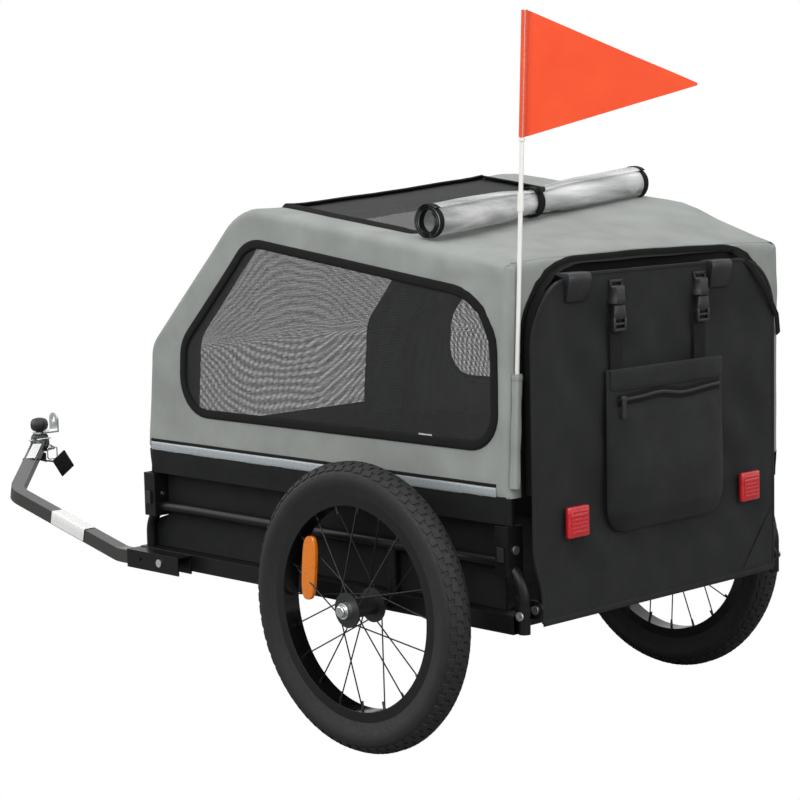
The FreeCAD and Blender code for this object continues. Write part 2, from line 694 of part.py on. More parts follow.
def door_tabs():
    """Stiff cloth tabs that hook over the top of the door's frame."""
    tabs = []
    for middle in (TAB_SHIFT + TAB_X, TAB_SHIFT - TAB_X):
        x0 = middle - TAB_W / 2
        face = block(x0, x0 + TAB_W, DOOR_FACE, DOOR_FACE + TAB_T, DOOR_TOP - TAB_DROP, DOOR_TOP + TAB_T)
        cap = block(x0, x0 + TAB_W, DOOR_Y, DOOR_FACE, DOOR_TOP, DOOR_TOP + TAB_T)
        tabs.append(face.fuse(cap))
    return Part.makeCompound(tabs)


def red_reflectors():
    plates = []
    for middle in (RED_X, -RED_X):
        plate = block(middle - RED_SIDE / 2, middle + RED_SIDE / 2, DOOR_FACE, DOOR_FACE + RED_T,
                      RED_Z - RED_SIDE / 2, RED_Z + RED_SIDE / 2)
        rear_edges = [edge for edge in plate.Edges if edge.CenterOfMass.y > DOOR_FACE + RED_T - SEAT]
        plates.append(plate.makeChamfer(RED_T / 4, rear_edges))
    return Part.makeCompound(plates)


def buckle_places():
    return (LEFT_STRAP_X, RIGHT_STRAP_X)


def upper_buckles():
    """Upper buckle halves on short webbing over the door's top, with prongs pointing down."""
    halves = []
    for middle in buckle_places():
        y0 = STRAP_FACE
        web = block(middle - STRAP_W / 2, middle + STRAP_W / 2, DOOR_FACE, STRAP_FACE,
                    BUCKLE_SPLIT + SEAT, DOOR_TOP + STRAP_T)
        over = block(middle - STRAP_W / 2, middle + STRAP_W / 2, DOOR_Y, DOOR_FACE, DOOR_TOP,
                     DOOR_TOP + STRAP_T)
        body = block(middle - BUCKLE_W / 2, middle + BUCKLE_W / 2, y0, y0 + BUCKLE_T,
                     BUCKLE_SPLIT + SEAT, BUCKLE_TOP)
        slot = block(middle - BUCKLE_W / 2 + 2 * BUCKLE_WALL, middle + BUCKLE_W / 2 - 2 * BUCKLE_WALL,
                     y0 + BUCKLE_WALL, y0 + BUCKLE_T, BUCKLE_TOP - PRONG_DEPTH, BUCKLE_TOP - 2 * BUCKLE_WALL)
        half = body.cut(slot).fuse(web).fuse(over)
        inner = BUCKLE_W / 2 - BUCKLE_WALL - CLEAR
        for side in (-1, 1):
            edge = middle + side * inner
            low = min(edge, edge - side * PRONG_W)
            prong = block(low, low + PRONG_W, y0 + BUCKLE_WALL + CLEAR, y0 + BUCKLE_T - BUCKLE_WALL - CLEAR,
                          BUCKLE_SPLIT - PRONG_DEPTH, BUCKLE_SPLIT + SEAT)
            half = half.fuse(prong)
        halves.append(half)
    return Part.makeCompound(halves)


def lower_buckles():
    """Lower buckle halves: a pocket for the prongs above two ladder bars."""
    halves = []
    for middle in buckle_places():
        y0 = STRAP_FACE + SEAT
        y1 = STRAP_FACE + BUCKLE_T
        body = block(middle - BUCKLE_W / 2, middle + BUCKLE_W / 2, y0, y1, BUCKLE_BOTTOM, BUCKLE_SPLIT)
        pocket = block(middle - BUCKLE_W / 2 + BUCKLE_WALL, middle + BUCKLE_W / 2 - BUCKLE_WALL,
                       STRAP_FACE + BUCKLE_WALL, y1 - BUCKLE_WALL,
                       BUCKLE_SPLIT - PRONG_DEPTH - CLEAR, BUCKLE_SPLIT)
        half = body.cut(pocket)
        bar = (BUCKLE_SPLIT - PRONG_DEPTH - CLEAR - BUCKLE_BOTTOM) / 5
        for step in (1, 3):
            z = BUCKLE_BOTTOM + step * bar
            reach = BUCKLE_W / 2 - 2 * BUCKLE_WALL
            half = half.cut(block(middle - reach, middle + reach, y0, y1, z, z + bar))
        halves.append(half)
    return Part.makeCompound(halves)


def bag_straps():
    straps = []
    for middle in buckle_places():
        straps.append(block(middle - STRAP_W / 2, middle + STRAP_W / 2, STRAP_FACE - STRAP_T, STRAP_FACE,
                            BAG_BOTTOM + BAG_ROUND, BUCKLE_SPLIT - PRONG_DEPTH))
    return Part.makeCompound(straps)


def bag():
    body = block(-BAG_HALF, BAG_HALF, BAG_FACE, BAG_FACE + BAG_T, BAG_BOTTOM, BAG_TOP)
    rear_edges = [edge for edge in body.Edges if edge.CenterOfMass.y > BAG_FACE + SEAT]
    return body.makeFillet(BAG_ROUND, rear_edges)


def zip_pull():
    x0 = BAG_HALF - BAG_ROUND - ZIP_END_GAP
    y0 = BAG_FACE + BAG_T + SEAT
    half = ZIP_PULL_W / 2
    slider = block(x0 - ZIP_PULL_W, x0, y0, y0 + 2 * ZIP_PULL_T, ZIP_Z - half, ZIP_Z + half)
    tongue = block(x0 - ZIP_PULL_W + ZIP_PULL_T, x0 - ZIP_PULL_T, y0, y0 + ZIP_PULL_T,
                   ZIP_Z - ZIP_PULL_H, ZIP_Z)
    return slider.fuse(tongue)


def pole_axis():
    lean = math.radians(POLE_LEAN)
    return V(-math.sin(lean), 0, math.cos(lean))


def pole_point(z):
    return V(POLE_X, POLE_Y, POLE_BOTTOM) + pole_axis() * ((z - POLE_BOTTOM) / pole_axis().z)


def flag_pole():
    length = (pole_point(POLE_TOP) - pole_point(POLE_BOTTOM)).Length
    pole = rod(pole_point(POLE_BOTTOM), pole_axis(), length, POLE_R)
    pole = pole.fuse(rod(pole_point(FERRULE_Z), pole_axis(), FERRULE_LENGTH, FERRULE_R))
    foot_z = POLE_TOP - PENNANT_EDGE - TIP_CAP
    return pole.fuse(rod(pole_point(foot_z - TIP_CAP), pole_axis(), TIP_CAP, FERRULE_R))


def flag_pocket():
    """Cloth sleeve with a closed foot on the panel's rear edge, for the flag's pole."""
    inner = POLE_X - POCKET_HALF
    outer = POLE_X + POCKET_HALF
    rear_edge = REAR_LEG_Y + COVER + CLOTH
    sleeve = block(inner, outer, rear_edge, POLE_Y + POCKET_HALF, POLE_BOTTOM - CLOTH - SEAT, POCKET_TOP)
    sleeve.rotate(pole_point(POLE_BOTTOM), Y, -POLE_LEAN)
    return sleeve.cut(rod(pole_point(POLE_BOTTOM - SEAT), pole_axis(), POLE_TOP, POLE_R + SEAT))


def pennant():
    """Three-cornered flag sewn to a sleeve that turns on the pole."""
    axis = pole_axis()
    foot = pole_point(POLE_TOP - PENNANT_EDGE - TIP_CAP) + axis * RUN
    sleeve = ring(foot, axis, PENNANT_EDGE, POLE_R + RUN + PENNANT_SLEEVE, POLE_R + RUN)
    turn = math.radians(PENNANT_TURN)
    out = V(math.cos(turn), math.sin(turn), 0)
    out = (out - axis * out.dot(axis)).normalize()
    across = axis.cross(out)
    start = foot + out * (POLE_R + RUN + PENNANT_SLEEVE / 2) - across * (PENNANT_T / 2)
    tip = start + out * PENNANT_LENGTH + axis * (PENNANT_EDGE / 2 - PENNANT_TIP_DROP)
    cloth = slab([start, start + axis * PENNANT_EDGE, tip], [0, 0, PENNANT_T], across * PENNANT_T)
    return sleeve.fuse(cloth)


def tow_points():
    return [V(TOW_X, TOW_BOLT_Y, TOW_Z), V(TOW_X, TOW_RISE[0], TOW_RISE[1]),
            V(TOW_X, TOW_TURN[0], TOW_TURN[1]), V(*TOW_END)]


def tow_bar(half):
    start = tow_points()[0]
    corners = [start + X * (half * i) + Z * (half * k) for i, k in ((-1, -1), (1, -1), (1, 1), (-1, 1))]
    section = Part.makePolygon(corners + corners[:1])
    return swept(tow_points(), [0, TOW_RISE_BEND, TOW_TURN_BEND, 0], section)


def tow_arm():
    """Bent square tube with a rounded foot that swings on the sleeve's bolt."""
    half = TOW_SIDE / 2
    arm = tow_bar(half).cut(tow_bar(half - TOW_WALL))
    arm = arm.fuse(rod(V(TOW_X - half, TOW_BOLT_Y, TOW_Z), X, TOW_SIDE, half))
    arm = arm.cut(rod(V(TOW_X - half, TOW_HOLE_Y, TOW_Z), X, TOW_SIDE, BOLT_R + SEAT))
    arm = arm.cut(rod(V(TOW_X - half, TOW_BOLT_Y, TOW_Z), X, TOW_SIDE, BOLT_R + RUN))
    return arm.cut(pin_bore())


def tow_sleeve():
    """Channel on the left rail's outer face, open below so that the arm swings under."""
    half = TOW_SIDE / 2
    inner = SIDE_X + RAIL_HALF
    outer = TOW_X + half + CLEAR
    top = TOW_Z + half + CLEAR
    bottom = TOW_Z - half - SLEEVE_DROP
    channel = block(inner, outer + SLEEVE_T, SLEEVE_FRONT, SLEEVE_REAR, bottom, top + SLEEVE_T)
    channel = channel.cut(block(inner + SLEEVE_T, outer, SLEEVE_FRONT, SLEEVE_REAR, TOW_Z - RAIL, top))
    for place in (TOW_HOLE_Y, TOW_BOLT_Y):
        channel = channel.cut(rod(V(inner, place, TOW_Z), X, outer + SLEEVE_T - inner, BOLT_R + SEAT))
    return channel


def hitch_base():
    return V(*TOW_END) - Z * (HEAD_H / 2)


def hitch_head():
    """Moulded coupler on the arm's end: a block, a neck that the plate turns on and a top knob."""
    base = hitch_base()
    head = rod(base, Z, HEAD_H, HEAD_R)
    head = head.makeFillet(HEAD_ROUND, [edge for edge in head.Edges if edge.Closed])
    head = head.fuse(rod(base + Z * (HEAD_H - HEAD_ROUND / 2), Z, HEAD_ROUND / 2 + NECK_H, NECK_R))
    knob_z = HEAD_H + NECK_H
    knob = rod(base + Z * knob_z, Z, KNOB_H, KNOB_R)
    knob = knob.makeFillet(HEAD_ROUND, [edge for edge in knob.Edges if edge.Closed])
    head = head.fuse(knob).fuse(rod(base + Z * knob_z, Z, HEAD_ROUND, NECK_R))
    head = head.cut(tow_bar(TOW_SIDE / 2))
    return head.cut(pin_bore())


def hitch_plate():
    """Bent steel plate: it turns on the neck and its upright ear takes the bicycle's axle."""
    low = hitch_base() + Z * (HEAD_H + CLEAR)
    half = PLATE_W / 2
    flat = block(low.x - PLATE_REACH, low.x, low.y - half, low.y + half, low.z, low.z + PLATE_T)
    flat = flat.fuse(rod(low, Z, PLATE_T, PLATE_W / 2))
    ear_x = low.x - PLATE_REACH
    ear = block(ear_x, ear_x + PLATE_T, low.y - PLATE_W / 2, low.y + PLATE_W / 2, low.z,
                low.z + PLATE_RISE - PLATE_W / 2)
    ear = ear.fuse(rod(V(ear_x, low.y, low.z + PLATE_RISE - PLATE_W / 2), X, PLATE_T, PLATE_W / 2))
    plate = flat.fuse(ear).cut(rod(low, Z, PLATE_T, NECK_R + RUN))
    return plate.cut(rod(V(ear_x, low.y, low.z + PLATE_RISE - PLATE_W / 2), X, PLATE_T, BIKE_AXLE_R))


def pin_start():
    return V(TOW_END[0] - HEAD_R / 2, TOW_END[1] - HEAD_R, TOW_END[2] - HEAD_H / 4)


def pin_bore():
    return rod(pin_start() - Y * PIN_HEAD, Y, 4 * HEAD_R, PIN_R + RUN)


def collar_start():
    return pin_start() + Y * (2 * HEAD_R + SEAT)


def clasp_middle():
    return collar_start() + Y * (PIN_HEAD + PIN_TAIL / 2)


def hitch_pin():
    """Steel pull pin across the coupler, with a collar and a tail that holds the clasp."""
    pin = rod(pin_start(), Y, 2 * HEAD_R + SEAT + PIN_HEAD + PIN_TAIL, PIN_R)
    pin = pin.fuse(rod(collar_start(), Y, PIN_HEAD, PIN_HEAD_R))
    return pin.cut(rod(clasp_middle() - X * PIN_HEAD_R, X, 2 * PIN_HEAD_R, CLASP_WIRE_R + RUN))


def pin_clasp():
    """Wire bail through the pin's tail, hanging down; the pin is pulled out by it."""
    middle = clasp_middle()
    wide = X * CLASP_HALF
    drop = Z * -CLASP_DROP
    points = [middle, middle + wide, middle + wide + drop, middle - wide + drop, middle - wide]
    bend = CLASP_HALF / 2
    wire = route(points, [0, bend / 2, bend, bend, bend / 2], True)
    section = Part.Wire(Part.makeCircle(CLASP_WIRE_R, middle, X))
    return wire.makePipeShell([section], True, False)


def safety_strap():
    """Folded webbing strap under the coupler that ties the arm to the bicycle's frame."""
    top = hitch_base() - Z * SEAT
    points = [top] + [top + V(*step) for step in TIE_PATH]
    section = Part.makePolygon([top + V(s * TIE_W / 2, t * TIE_T / 2, 0)
                                for s, t in ((-1, -1), (1, -1), (1, 1), (-1, 1), (-1, -1))])
    return swept(points, TIE_BENDS, section)


def bolt(head_at, along, length):
    """Domed bolt: `head_at` is under its head and `along` points down the shank."""
    body = rod(head_at, along, length, BOLT_R)
    return body.fuse(rod(head_at - along * BOLT_HEAD, along, BOLT_HEAD, BOLT_HEAD_R))


def frame_bolts():
    """Pivot, loop, tow and door-hinge bolts, with the nuts that show."""
    out = FLANGE_GAP + BRACKET_T
    fixings = []
    left = []
    left.append(bolt(V(SIDE_X, FRONT_LEG_Y - out, PIVOT_Z), Y, 2 * out + FRONT_LEAN))
    left.append(bolt(V(SIDE_X, REAR_LEG_Y + out, PIVOT_Z), Y * -1, 2 * out + NUT_T))
    left.append(ring(V(SIDE_X, REAR_LEG_Y - out - NUT_T, PIVOT_Z), Y, NUT_T, NUT_R, BOLT_R))
    left.append(bolt(V(SIDE_X + LOOP_R, LOOP_REAR_Y, RAIL_TOP), X * -1, 2 * LOOP_R))
    lug_out = DOOR_HALF + LUG_GAP + LUG_T
    inner = DOOR_LEG_X - DOOR_TUBE_R
    left.append(bolt(V(lug_out, DOOR_Y, HINGE_Z), X * -1, lug_out - inner))
    for shape in left:
        fixings.append(shape)
        fixings.append(mirrored(shape))
    tow_out = TOW_X + TOW_SIDE / 2 + CLEAR + SLEEVE_T
    fixings.append(bolt(V(tow_out, TOW_BOLT_Y, TOW_Z), X * -1, tow_out - SIDE_X - RAIL_HALF))
    return Part.makeCompound(fixings)


def pair(shape):
    return Part.makeCompound([shape, mirrored(shape)])


def build():
    """Every node of the trailer by name, with the axle's middle over the origin."""
    nodes = {
        "side_rails": pair(side_rail()),
        "cross_tubes": cross_tubes(),
        "wheel_axles": pair(wheel_axle()),
        "floor_panel": floor_panel(),
        "lower_tub": lower_tub(),
        "frame_bolts": frame_bolts(),
        "tow_sleeve": tow_sleeve(),
        "rain_roll": rain_roll(),
        "door_frame": door_frame(),
        "door_panel": door_panel(),
        "door_tabs": door_tabs(),
        "red_reflectors": red_reflectors(),
        "upper_buckles": upper_buckles(),
        "lower_buckles": lower_buckles(),
        "bag_straps": bag_straps(),
        "bag": bag(),
        "zip_pull": zip_pull(),
        "flag_pole": flag_pole(),
        "flag_pocket": flag_pocket(),
        "pennant": pennant(),
        "tow_arm": tow_arm(),
        "hitch_head": hitch_head(),
        "hitch_plate": hitch_plate(),
        "hitch_pin": hitch_pin(),
        "pin_clasp": pin_clasp(),
        "safety_strap": safety_strap(),
    }
    band = cover_band()
    roof_hole = mesh_hole_roof()
    roof = band.common(roof_side())
    front = band.common(front_side())
    nodes["roof_cloth"] = roof.cut(roof_hole)
    nodes["roof_mesh"] = roof.common(roof_hole)
    nodes["front_cloth"] = front.cut(mesh_hole_front())
    nodes["front_mesh"] = front.common(mesh_hole_front())
    handed = {
        "side_loop": side_loop(),
        "arch_tube": arch_tube(),
        "side_panel": side_panel(),
        "window_mesh": window_mesh(),
        "front_bracket": corner_bracket(FRONT_LEG_Y, FRONT_LEAN),
        "rear_bracket": corner_bracket(REAR_LEG_Y, 0),
        "front_lock_button": lock_button(FRONT_LEG_Y),
        "rear_lock_button": lock_button(REAR_LEG_Y),
        "tyre": tyre(),
        "rim": rim(),
        "hub": hub(),
        "hub_bearings": hub_bearings(),
        "spokes": spokes(),
        "spoke_reflector": spoke_reflector(),
        "release_button": release_button(),
    }
    for name, shape in handed.items():
        nodes["left_" + name] = shape
        nodes["right_" + name] = mirrored(shape)
    return nodes


def footprint_middle(nodes):
    """Y of the middle of the whole trailer, which the origin stands under."""
    box = Part.makeCompound(list(nodes.values())).optimalBoundingBox(False, False)
    return (box.YMin + box.YMax) / 2


NODES = build()
MIDDLE_Y = footprint_middle(NODES)
os.makedirs("parts", exist_ok=True)
for node_name, node_shape in NODES.items():
    node_shape.translate(V(0, -MIDDLE_Y, 0))
    node_shape.exportStep("parts/" + node_name + ".step")
print("nodes", len(NODES), "axle at y", round(-MIDDLE_Y, 3))
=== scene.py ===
import bpy
import bmesh
import math
from mathutils import Matrix, Vector, noise


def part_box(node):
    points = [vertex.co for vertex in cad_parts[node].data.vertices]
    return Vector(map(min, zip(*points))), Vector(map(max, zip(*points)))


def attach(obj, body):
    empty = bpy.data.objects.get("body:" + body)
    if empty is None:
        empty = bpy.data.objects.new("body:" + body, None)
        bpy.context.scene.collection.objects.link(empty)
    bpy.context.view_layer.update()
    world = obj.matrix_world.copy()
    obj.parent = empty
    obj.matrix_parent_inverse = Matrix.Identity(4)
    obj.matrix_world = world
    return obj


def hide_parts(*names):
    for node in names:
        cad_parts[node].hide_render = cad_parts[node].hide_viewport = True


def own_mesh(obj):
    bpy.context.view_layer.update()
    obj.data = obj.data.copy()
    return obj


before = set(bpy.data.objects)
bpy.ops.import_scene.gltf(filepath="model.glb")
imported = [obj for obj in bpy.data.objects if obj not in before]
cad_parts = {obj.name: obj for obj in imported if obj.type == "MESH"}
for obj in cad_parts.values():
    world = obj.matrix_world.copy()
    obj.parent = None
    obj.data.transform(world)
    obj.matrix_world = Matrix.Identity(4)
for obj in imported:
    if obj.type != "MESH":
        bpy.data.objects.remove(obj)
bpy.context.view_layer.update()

# Dog trailer for a bicycle: a grey and black cloth cabin on two spoked wheels.
# Metres. Lengths named below are millimetres about the axle's middle, and at() turns them into metres.
MM = 0.001
AXLE_Y = (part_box("left_tyre")[0][1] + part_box("left_tyre")[1][1]) / 2


def at(x, y, z):
    return Vector((x * MM, AXLE_Y + y * MM, z * MM))


def steps(start, end, count):
    """Values at equal steps from start to end, both included."""
    return [start + (end - start) * k / count for k in range(count + 1)]


def circle(count):
    """Angles at equal steps round one turn."""
    return [2 * math.pi * k / count for k in range(count)]


def placed(name, data):
    """New object with this data."""
    made = bpy.data.objects.new(name, data)
    bpy.context.scene.collection.objects.link(made)
    return made


def limits(node):
    """Lowest and highest corner of a node in millimetres about the axle's middle."""
    shift = Vector((0, AXLE_Y, 0))
    low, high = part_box(node)
    return (Vector(low) - shift) / MM, (Vector(high) - shift) / MM


# Frame metal: rails, tubes, brackets, tow arm and fittings.
# Steel under black powder coat, zinc on bolts and axles, bright chrome on the two push buttons.
# The solids of the frame carry these finishes; edges are softened in the shading.
def linear(code):
    """Scene colour of an sRGB code such as #808080."""
    channels = [int(code[i:i + 2], 16) / 255 for i in (1, 3, 5)]
    return [c / 12.92 if c <= 0.04045 else ((c + 0.055) / 1.055) ** 2.4 for c in channels] + [1.0]


def give(tree, socket, value):
    """Links another node's output to a socket, or sets a plain value."""
    if isinstance(value, bpy.types.NodeSocket):
        tree.links.new(value, socket)
    else:
        socket.default_value = value


def add(tree, kind, inputs=None, **settings):
    """Adds a shader node; an input is a value or another node's output."""
    made = tree.nodes.new(kind)
    for name, value in settings.items():
        setattr(made, name, value)
    for name, value in (inputs or {}).items():
        give(tree, made.inputs[name], value)
    return made


def maths(tree, operation, *values):
    """Result of one operation on numbers and outputs of nodes."""
    return add(tree, "ShaderNodeMath", dict(enumerate(values)), operation=operation).outputs[0]


def surface(name):
    """New material with its node tree and its shader."""
    material = bpy.data.materials.new(name)
    material.use_nodes = True
    tree = material.node_tree
    return material, tree, tree.nodes["Principled BSDF"]


def feed(tree, shader, **inputs):
    """Gives a shader its values and links; a name's underscores are spaces."""
    for name, value in inputs.items():
        give(tree, shader.inputs[name.replace("_", " ")], value)


def own_place(tree):
    return add(tree, "ShaderNodeTexCoord").outputs["Object"]


def grain(tree, size, detail=3.0):
    """Cloudy noise whose patches are about `size` millimetres across."""
    inputs = {"Vector": own_place(tree), "Scale": 1 / (size * MM), "Detail": detail}
    return add(tree, "ShaderNodeTexNoise", inputs).outputs["Fac"]


def between(tree, factor, first, second):
    """Colour that goes from first to second as the factor goes from 0 to 1."""
    mix = add(tree, "ShaderNodeMix", data_type="RGBA")
    tree.links.new(factor, mix.inputs["Factor"])
    mix.inputs["A"].default_value = linear(first)
    mix.inputs["B"].default_value = linear(second)
    return mix.outputs["Result"]


def spread(tree, factor, low, high):
    """Noise stretched to a range of values."""
    inputs = {"Value": factor, "From Min": 0.3, "From Max": 0.7, "To Min": low, "To Max": high}
    return add(tree, "ShaderNodeMapRange", inputs).outputs["Result"]


def bump(tree, height, depth, strength=1.0, normal=None):
    inputs = {"Height": height, "Distance": depth * MM, "Strength": strength}
    if normal is not None:
        inputs["Normal"] = normal
    return add(tree, "ShaderNodeBump", inputs).outputs["Normal"]


def soft_edge(tree, radius):
    """Normal of a surface whose edges are rounded in the shading."""
    return add(tree, "ShaderNodeBevel", {"Radius": radius * MM}, samples=4).outputs["Normal"]


def finish(name, tones, rough, pits, edge=None, **more):
    """Hard finish: two tones and uneven shine in patches, fine pits, and edges rounded if asked."""
    material, tree, shader = surface(name)
    dark, light, tone_size = tones
    low, high, rough_size = rough
    pit_size, depth, strength = pits
    normal = soft_edge(tree, edge) if edge else None
    feed(tree, shader, Base_Color=between(tree, grain(tree, tone_size), dark, light),
         Roughness=spread(tree, grain(tree, rough_size), low, high),
         Normal=bump(tree, grain(tree, pit_size), depth, strength, normal), **more)
    return material


def coated_metal(name, dark, light, edge, rough, shine):
    return finish(name, (dark, light, 60.0), (rough, rough + 0.1, 9.0), (1.2, 0.05, 0.35), edge,
                  Specular_IOR_Level=shine)


def bare_metal(name, dark, light, rough, edge):
    return finish(name, (dark, light, 4.0), (rough, rough + 0.14, 2.5), (3.0, 0.02, 0.15), edge, Metallic=1.0)


def moulded(name, dark, light, rough):
    return finish(name, (dark, light, 12.0), (rough, rough + 0.12, 3.0), (0.5, 0.03, 0.4), 0.6)


def dress(material, *nodes):
    """Gives nodes of the frame a finish."""
    for name in nodes:
        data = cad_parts[name].data
        data.materials.clear()
        data.materials.append(material)


BLACK_PAINT = coated_metal("black_powder_coat", "#0f0f10", "#161618", 0.8, 0.3, 0.22)
TOW_PAINT = coated_metal("tow_powder_coat", "#262625", "#2f2f2d", 1.6, 0.18, 0.95)
RIM_BLACK = coated_metal("rim_black", "#0b0b0c", "#111113", 1.0, 0.14, 0.45)
ZINC = bare_metal("zinc_plate", "#cfd2d3", "#eceeee", 0.26, 0.5)
CHROME = bare_metal("chrome", "#c9cbcd", "#e2e3e4", 0.08, 0.8)
BLACK_PLASTIC = moulded("black_plastic", "#17181a", "#202123", 0.38)
SIDES = {"left": 1, "right": -1}
dress(BLACK_PAINT, "side_rails", "cross_tubes", "tow_sleeve", "door_frame")
dress(TOW_PAINT, "tow_arm")
dress(ZINC, "frame_bolts", "wheel_axles", "hitch_plate", "hitch_pin", "pin_clasp")
for side in SIDES:
    dress(BLACK_PAINT, side + "_side_loop", side + "_arch_tube")
    dress(BLACK_PAINT, side + "_front_bracket", side + "_rear_bracket")
    dress(BLACK_PLASTIC, side + "_front_lock_button", side + "_rear_lock_button", side + "_hub")
    dress(RIM_BLACK, side + "_rim", side + "_spokes")
    dress(ZINC, side + "_hub_bearings")
    dress(CHROME, side + "_release_button")

# Tyres: black rubber, a smooth side wall with fine ribs and a crown of staggered tread blocks.
# The casing is a section turned round the axle; each block is a small bevelled brick set on it.
CASING_STEP = 1.8
BLOCK_ROWS = ((-46, 9.0, 1), (-23, 9.5, -1), (0, 9.0, 1), (23, 9.5, -1), (46, 9.0, 1))
BLOCKS_ROUND = 66
BLOCK_LENGTH = 16.6
BLOCK_SKEW = 9.0
CASING_STEPS = 144
BEAD_DEPTH = 52.5
BEAD_HALF = 10.5

RUBBER = finish("tyre_rubber", ("#1b1b1c", "#272728", 25.0), (0.58, 0.74, 5.0), (1.0, 0.12, 0.5),
                Specular_IOR_Level=0.35)


def piece(name, bm, materials, body, *stands_for, crease=None):
    """Object of a finished mesh that rides on a body and stands for these nodes."""
    mesh = bpy.data.meshes.new(name)
    bmesh.ops.recalc_face_normals(bm, faces=bm.faces)
    bm.to_mesh(mesh)
    bm.free()
    for material in materials if isinstance(materials, (list, tuple)) else [materials]:
        mesh.materials.append(material)
    mesh.shade_smooth()
    if crease:
        mesh.set_sharp_from_angle(angle=math.radians(crease))
    made = placed(name, mesh)
    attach(made, body)
    if stands_for:
        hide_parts(*stands_for)
    return made


def grid(bm, rows, closed=False, left_out=None):
    """Quads through rows of points; closed joins last row and first, left_out(row, column) skips one."""
    made = [[bm.verts.new(point) for point in row] for row in rows]
    pairs = list(zip(made, made[1:]))
    if closed:
        pairs.append((made[-1], made[0]))
    for r, (first, second) in enumerate(pairs):
        for i in range(len(first) - 1):
            if left_out is None or not left_out(r, i):
                bm.faces.new((first[i], first[i + 1], second[i + 1], second[i]))
    return made


def brick(bm, size, matrix, bevel, segments=1):
    """Bevelled box of a size in millimetres, set by a matrix."""
    made = bmesh.ops.create_cube(bm, size=1.0)["verts"]
    bmesh.ops.scale(bm, vec=Vector(size) * MM, verts=made)
    edges = list({edge for vert in made for edge in vert.link_edges})
    done = bmesh.ops.bevel(bm, geom=edges, offset=bevel * MM, segments=segments, profile=0.5,
                           affect="EDGES", material=-1)
    verts = list({vert for face in done["faces"] for vert in face.verts} | {v for v in made if v.is_valid})
    bmesh.ops.transform(bm, matrix=matrix, verts=verts)


def tyre_section(crown_r, section_r, bead_r, bead_half):
    """Half-open section (across, out) from bead to bead with a few fine ribs on each wall."""
    points = [(-bead_half, bead_r)]
    for step, tilt in enumerate(steps(-118, 118, 32)):
        angle = math.radians(tilt)
        rib = 0.5 if step in (4, 6, 26, 28) else 0.0
        flat = CASING_STEP * max(0.0, math.cos(angle)) ** 0.5 if abs(angle) < 1.1 else 0.0
        reach = section_r + rib - flat
        points.append((reach * math.sin(angle), crown_r + reach * math.cos(angle)))
    points.append((bead_half, bead_r))
    return points


def tyre(side):
    low, high = limits(side + "_tyre")
    middle = at((low.x + high.x) / 2, 0, (low.z + high.z) / 2)
    section_r = (high.x - low.x) / 2
    outer = (high.z - low.z) / 2
    crown = outer - section_r
    bm = bmesh.new()
    section = tyre_section(crown, section_r, outer - BEAD_DEPTH, BEAD_HALF)
    rows = []
    for angle in circle(CASING_STEPS):
        turn = Matrix.Rotation(angle, 4, "X")
        rows.append([middle + turn @ Vector((x * MM, 0, r * MM)) for x, r in section])
    grid(bm, rows, True)
    for tilt, width, skew in BLOCK_ROWS:
        lean = math.radians(tilt)
        reach = section_r - CASING_STEP / 2 - 0.2
        for step in range(BLOCKS_ROUND):
            offset = 0.5 if skew < 0 else 0.0
            turn = Matrix.Rotation(2 * math.pi * (step + offset) / BLOCKS_ROUND, 4, "X")
            out = Matrix.Translation((0, 0, crown * MM)) @ Matrix.Rotation(lean, 4, "Y")
            out = out @ Matrix.Translation((0, 0, reach * MM))
            twist = Matrix.Rotation(math.radians(BLOCK_SKEW * skew), 4, "Z")
            size = (width, BLOCK_LENGTH * (1.0 - abs(tilt) / 220), CASING_STEP)
            brick(bm, size, Matrix.Translation(middle) @ turn @ out @ twist, 0.6)
    piece(side + "_tyre_tread", bm, RUBBER, side + "_wheel", side + "_tyre", crease=40)


for side in SIDES:
    tyre(side)

# Spoke reflectors: an amber lens on each wheel, a long leaf that leans with the spokes.
# Moulded clear amber plastic over small prisms; a rounded outline lofted through its thickness.
LENS_LEAN = 0.09


def lens_plastic(name, deep, bright, cell):
    """Reflector plastic with a fine pattern of prisms behind its face, and a faint painted glow in its bright
    tone.
    """
    material, tree, shader = surface(name)
    cells = add(tree, "ShaderNodeTexVoronoi", {"Vector": own_place(tree), "Scale": 1 / (cell * MM)})
    feed(tree, shader, Base_Color=between(tree, cells.outputs["Distance"], bright, deep), Roughness=0.14,
         Coat_Weight=0.6, Coat_Roughness=0.06, Normal=bump(tree, cells.outputs["Distance"], 0.3, 0.2))
    # Faint emission in the bright tone: painted light, as the lens is no lamp.
    feed(tree, shader, Emission_Color=linear(bright), Emission_Strength=0.06)
    return material


AMBER = lens_plastic("amber_lens", "#d86a06", "#ee8610", 2.4)


def loft(bm, outlines, cap=True, closed=False, index=0):
    """Skin through outlines of equal count, capped at both ends or closed on itself if asked."""
    made = [[bm.verts.new(point) for point in outline] for outline in outlines]
    pairs = list(zip(made, made[1:])) + ([(made[-1], made[0])] if closed else [])
    faces = [(a[i - 1], a[i], b[i], b[i - 1]) for a, b in pairs for i in range(len(a))]
    if cap:
        faces += [made[0][::-1], made[-1]]
    for face in faces:
        bm.faces.new(face).material_index = index


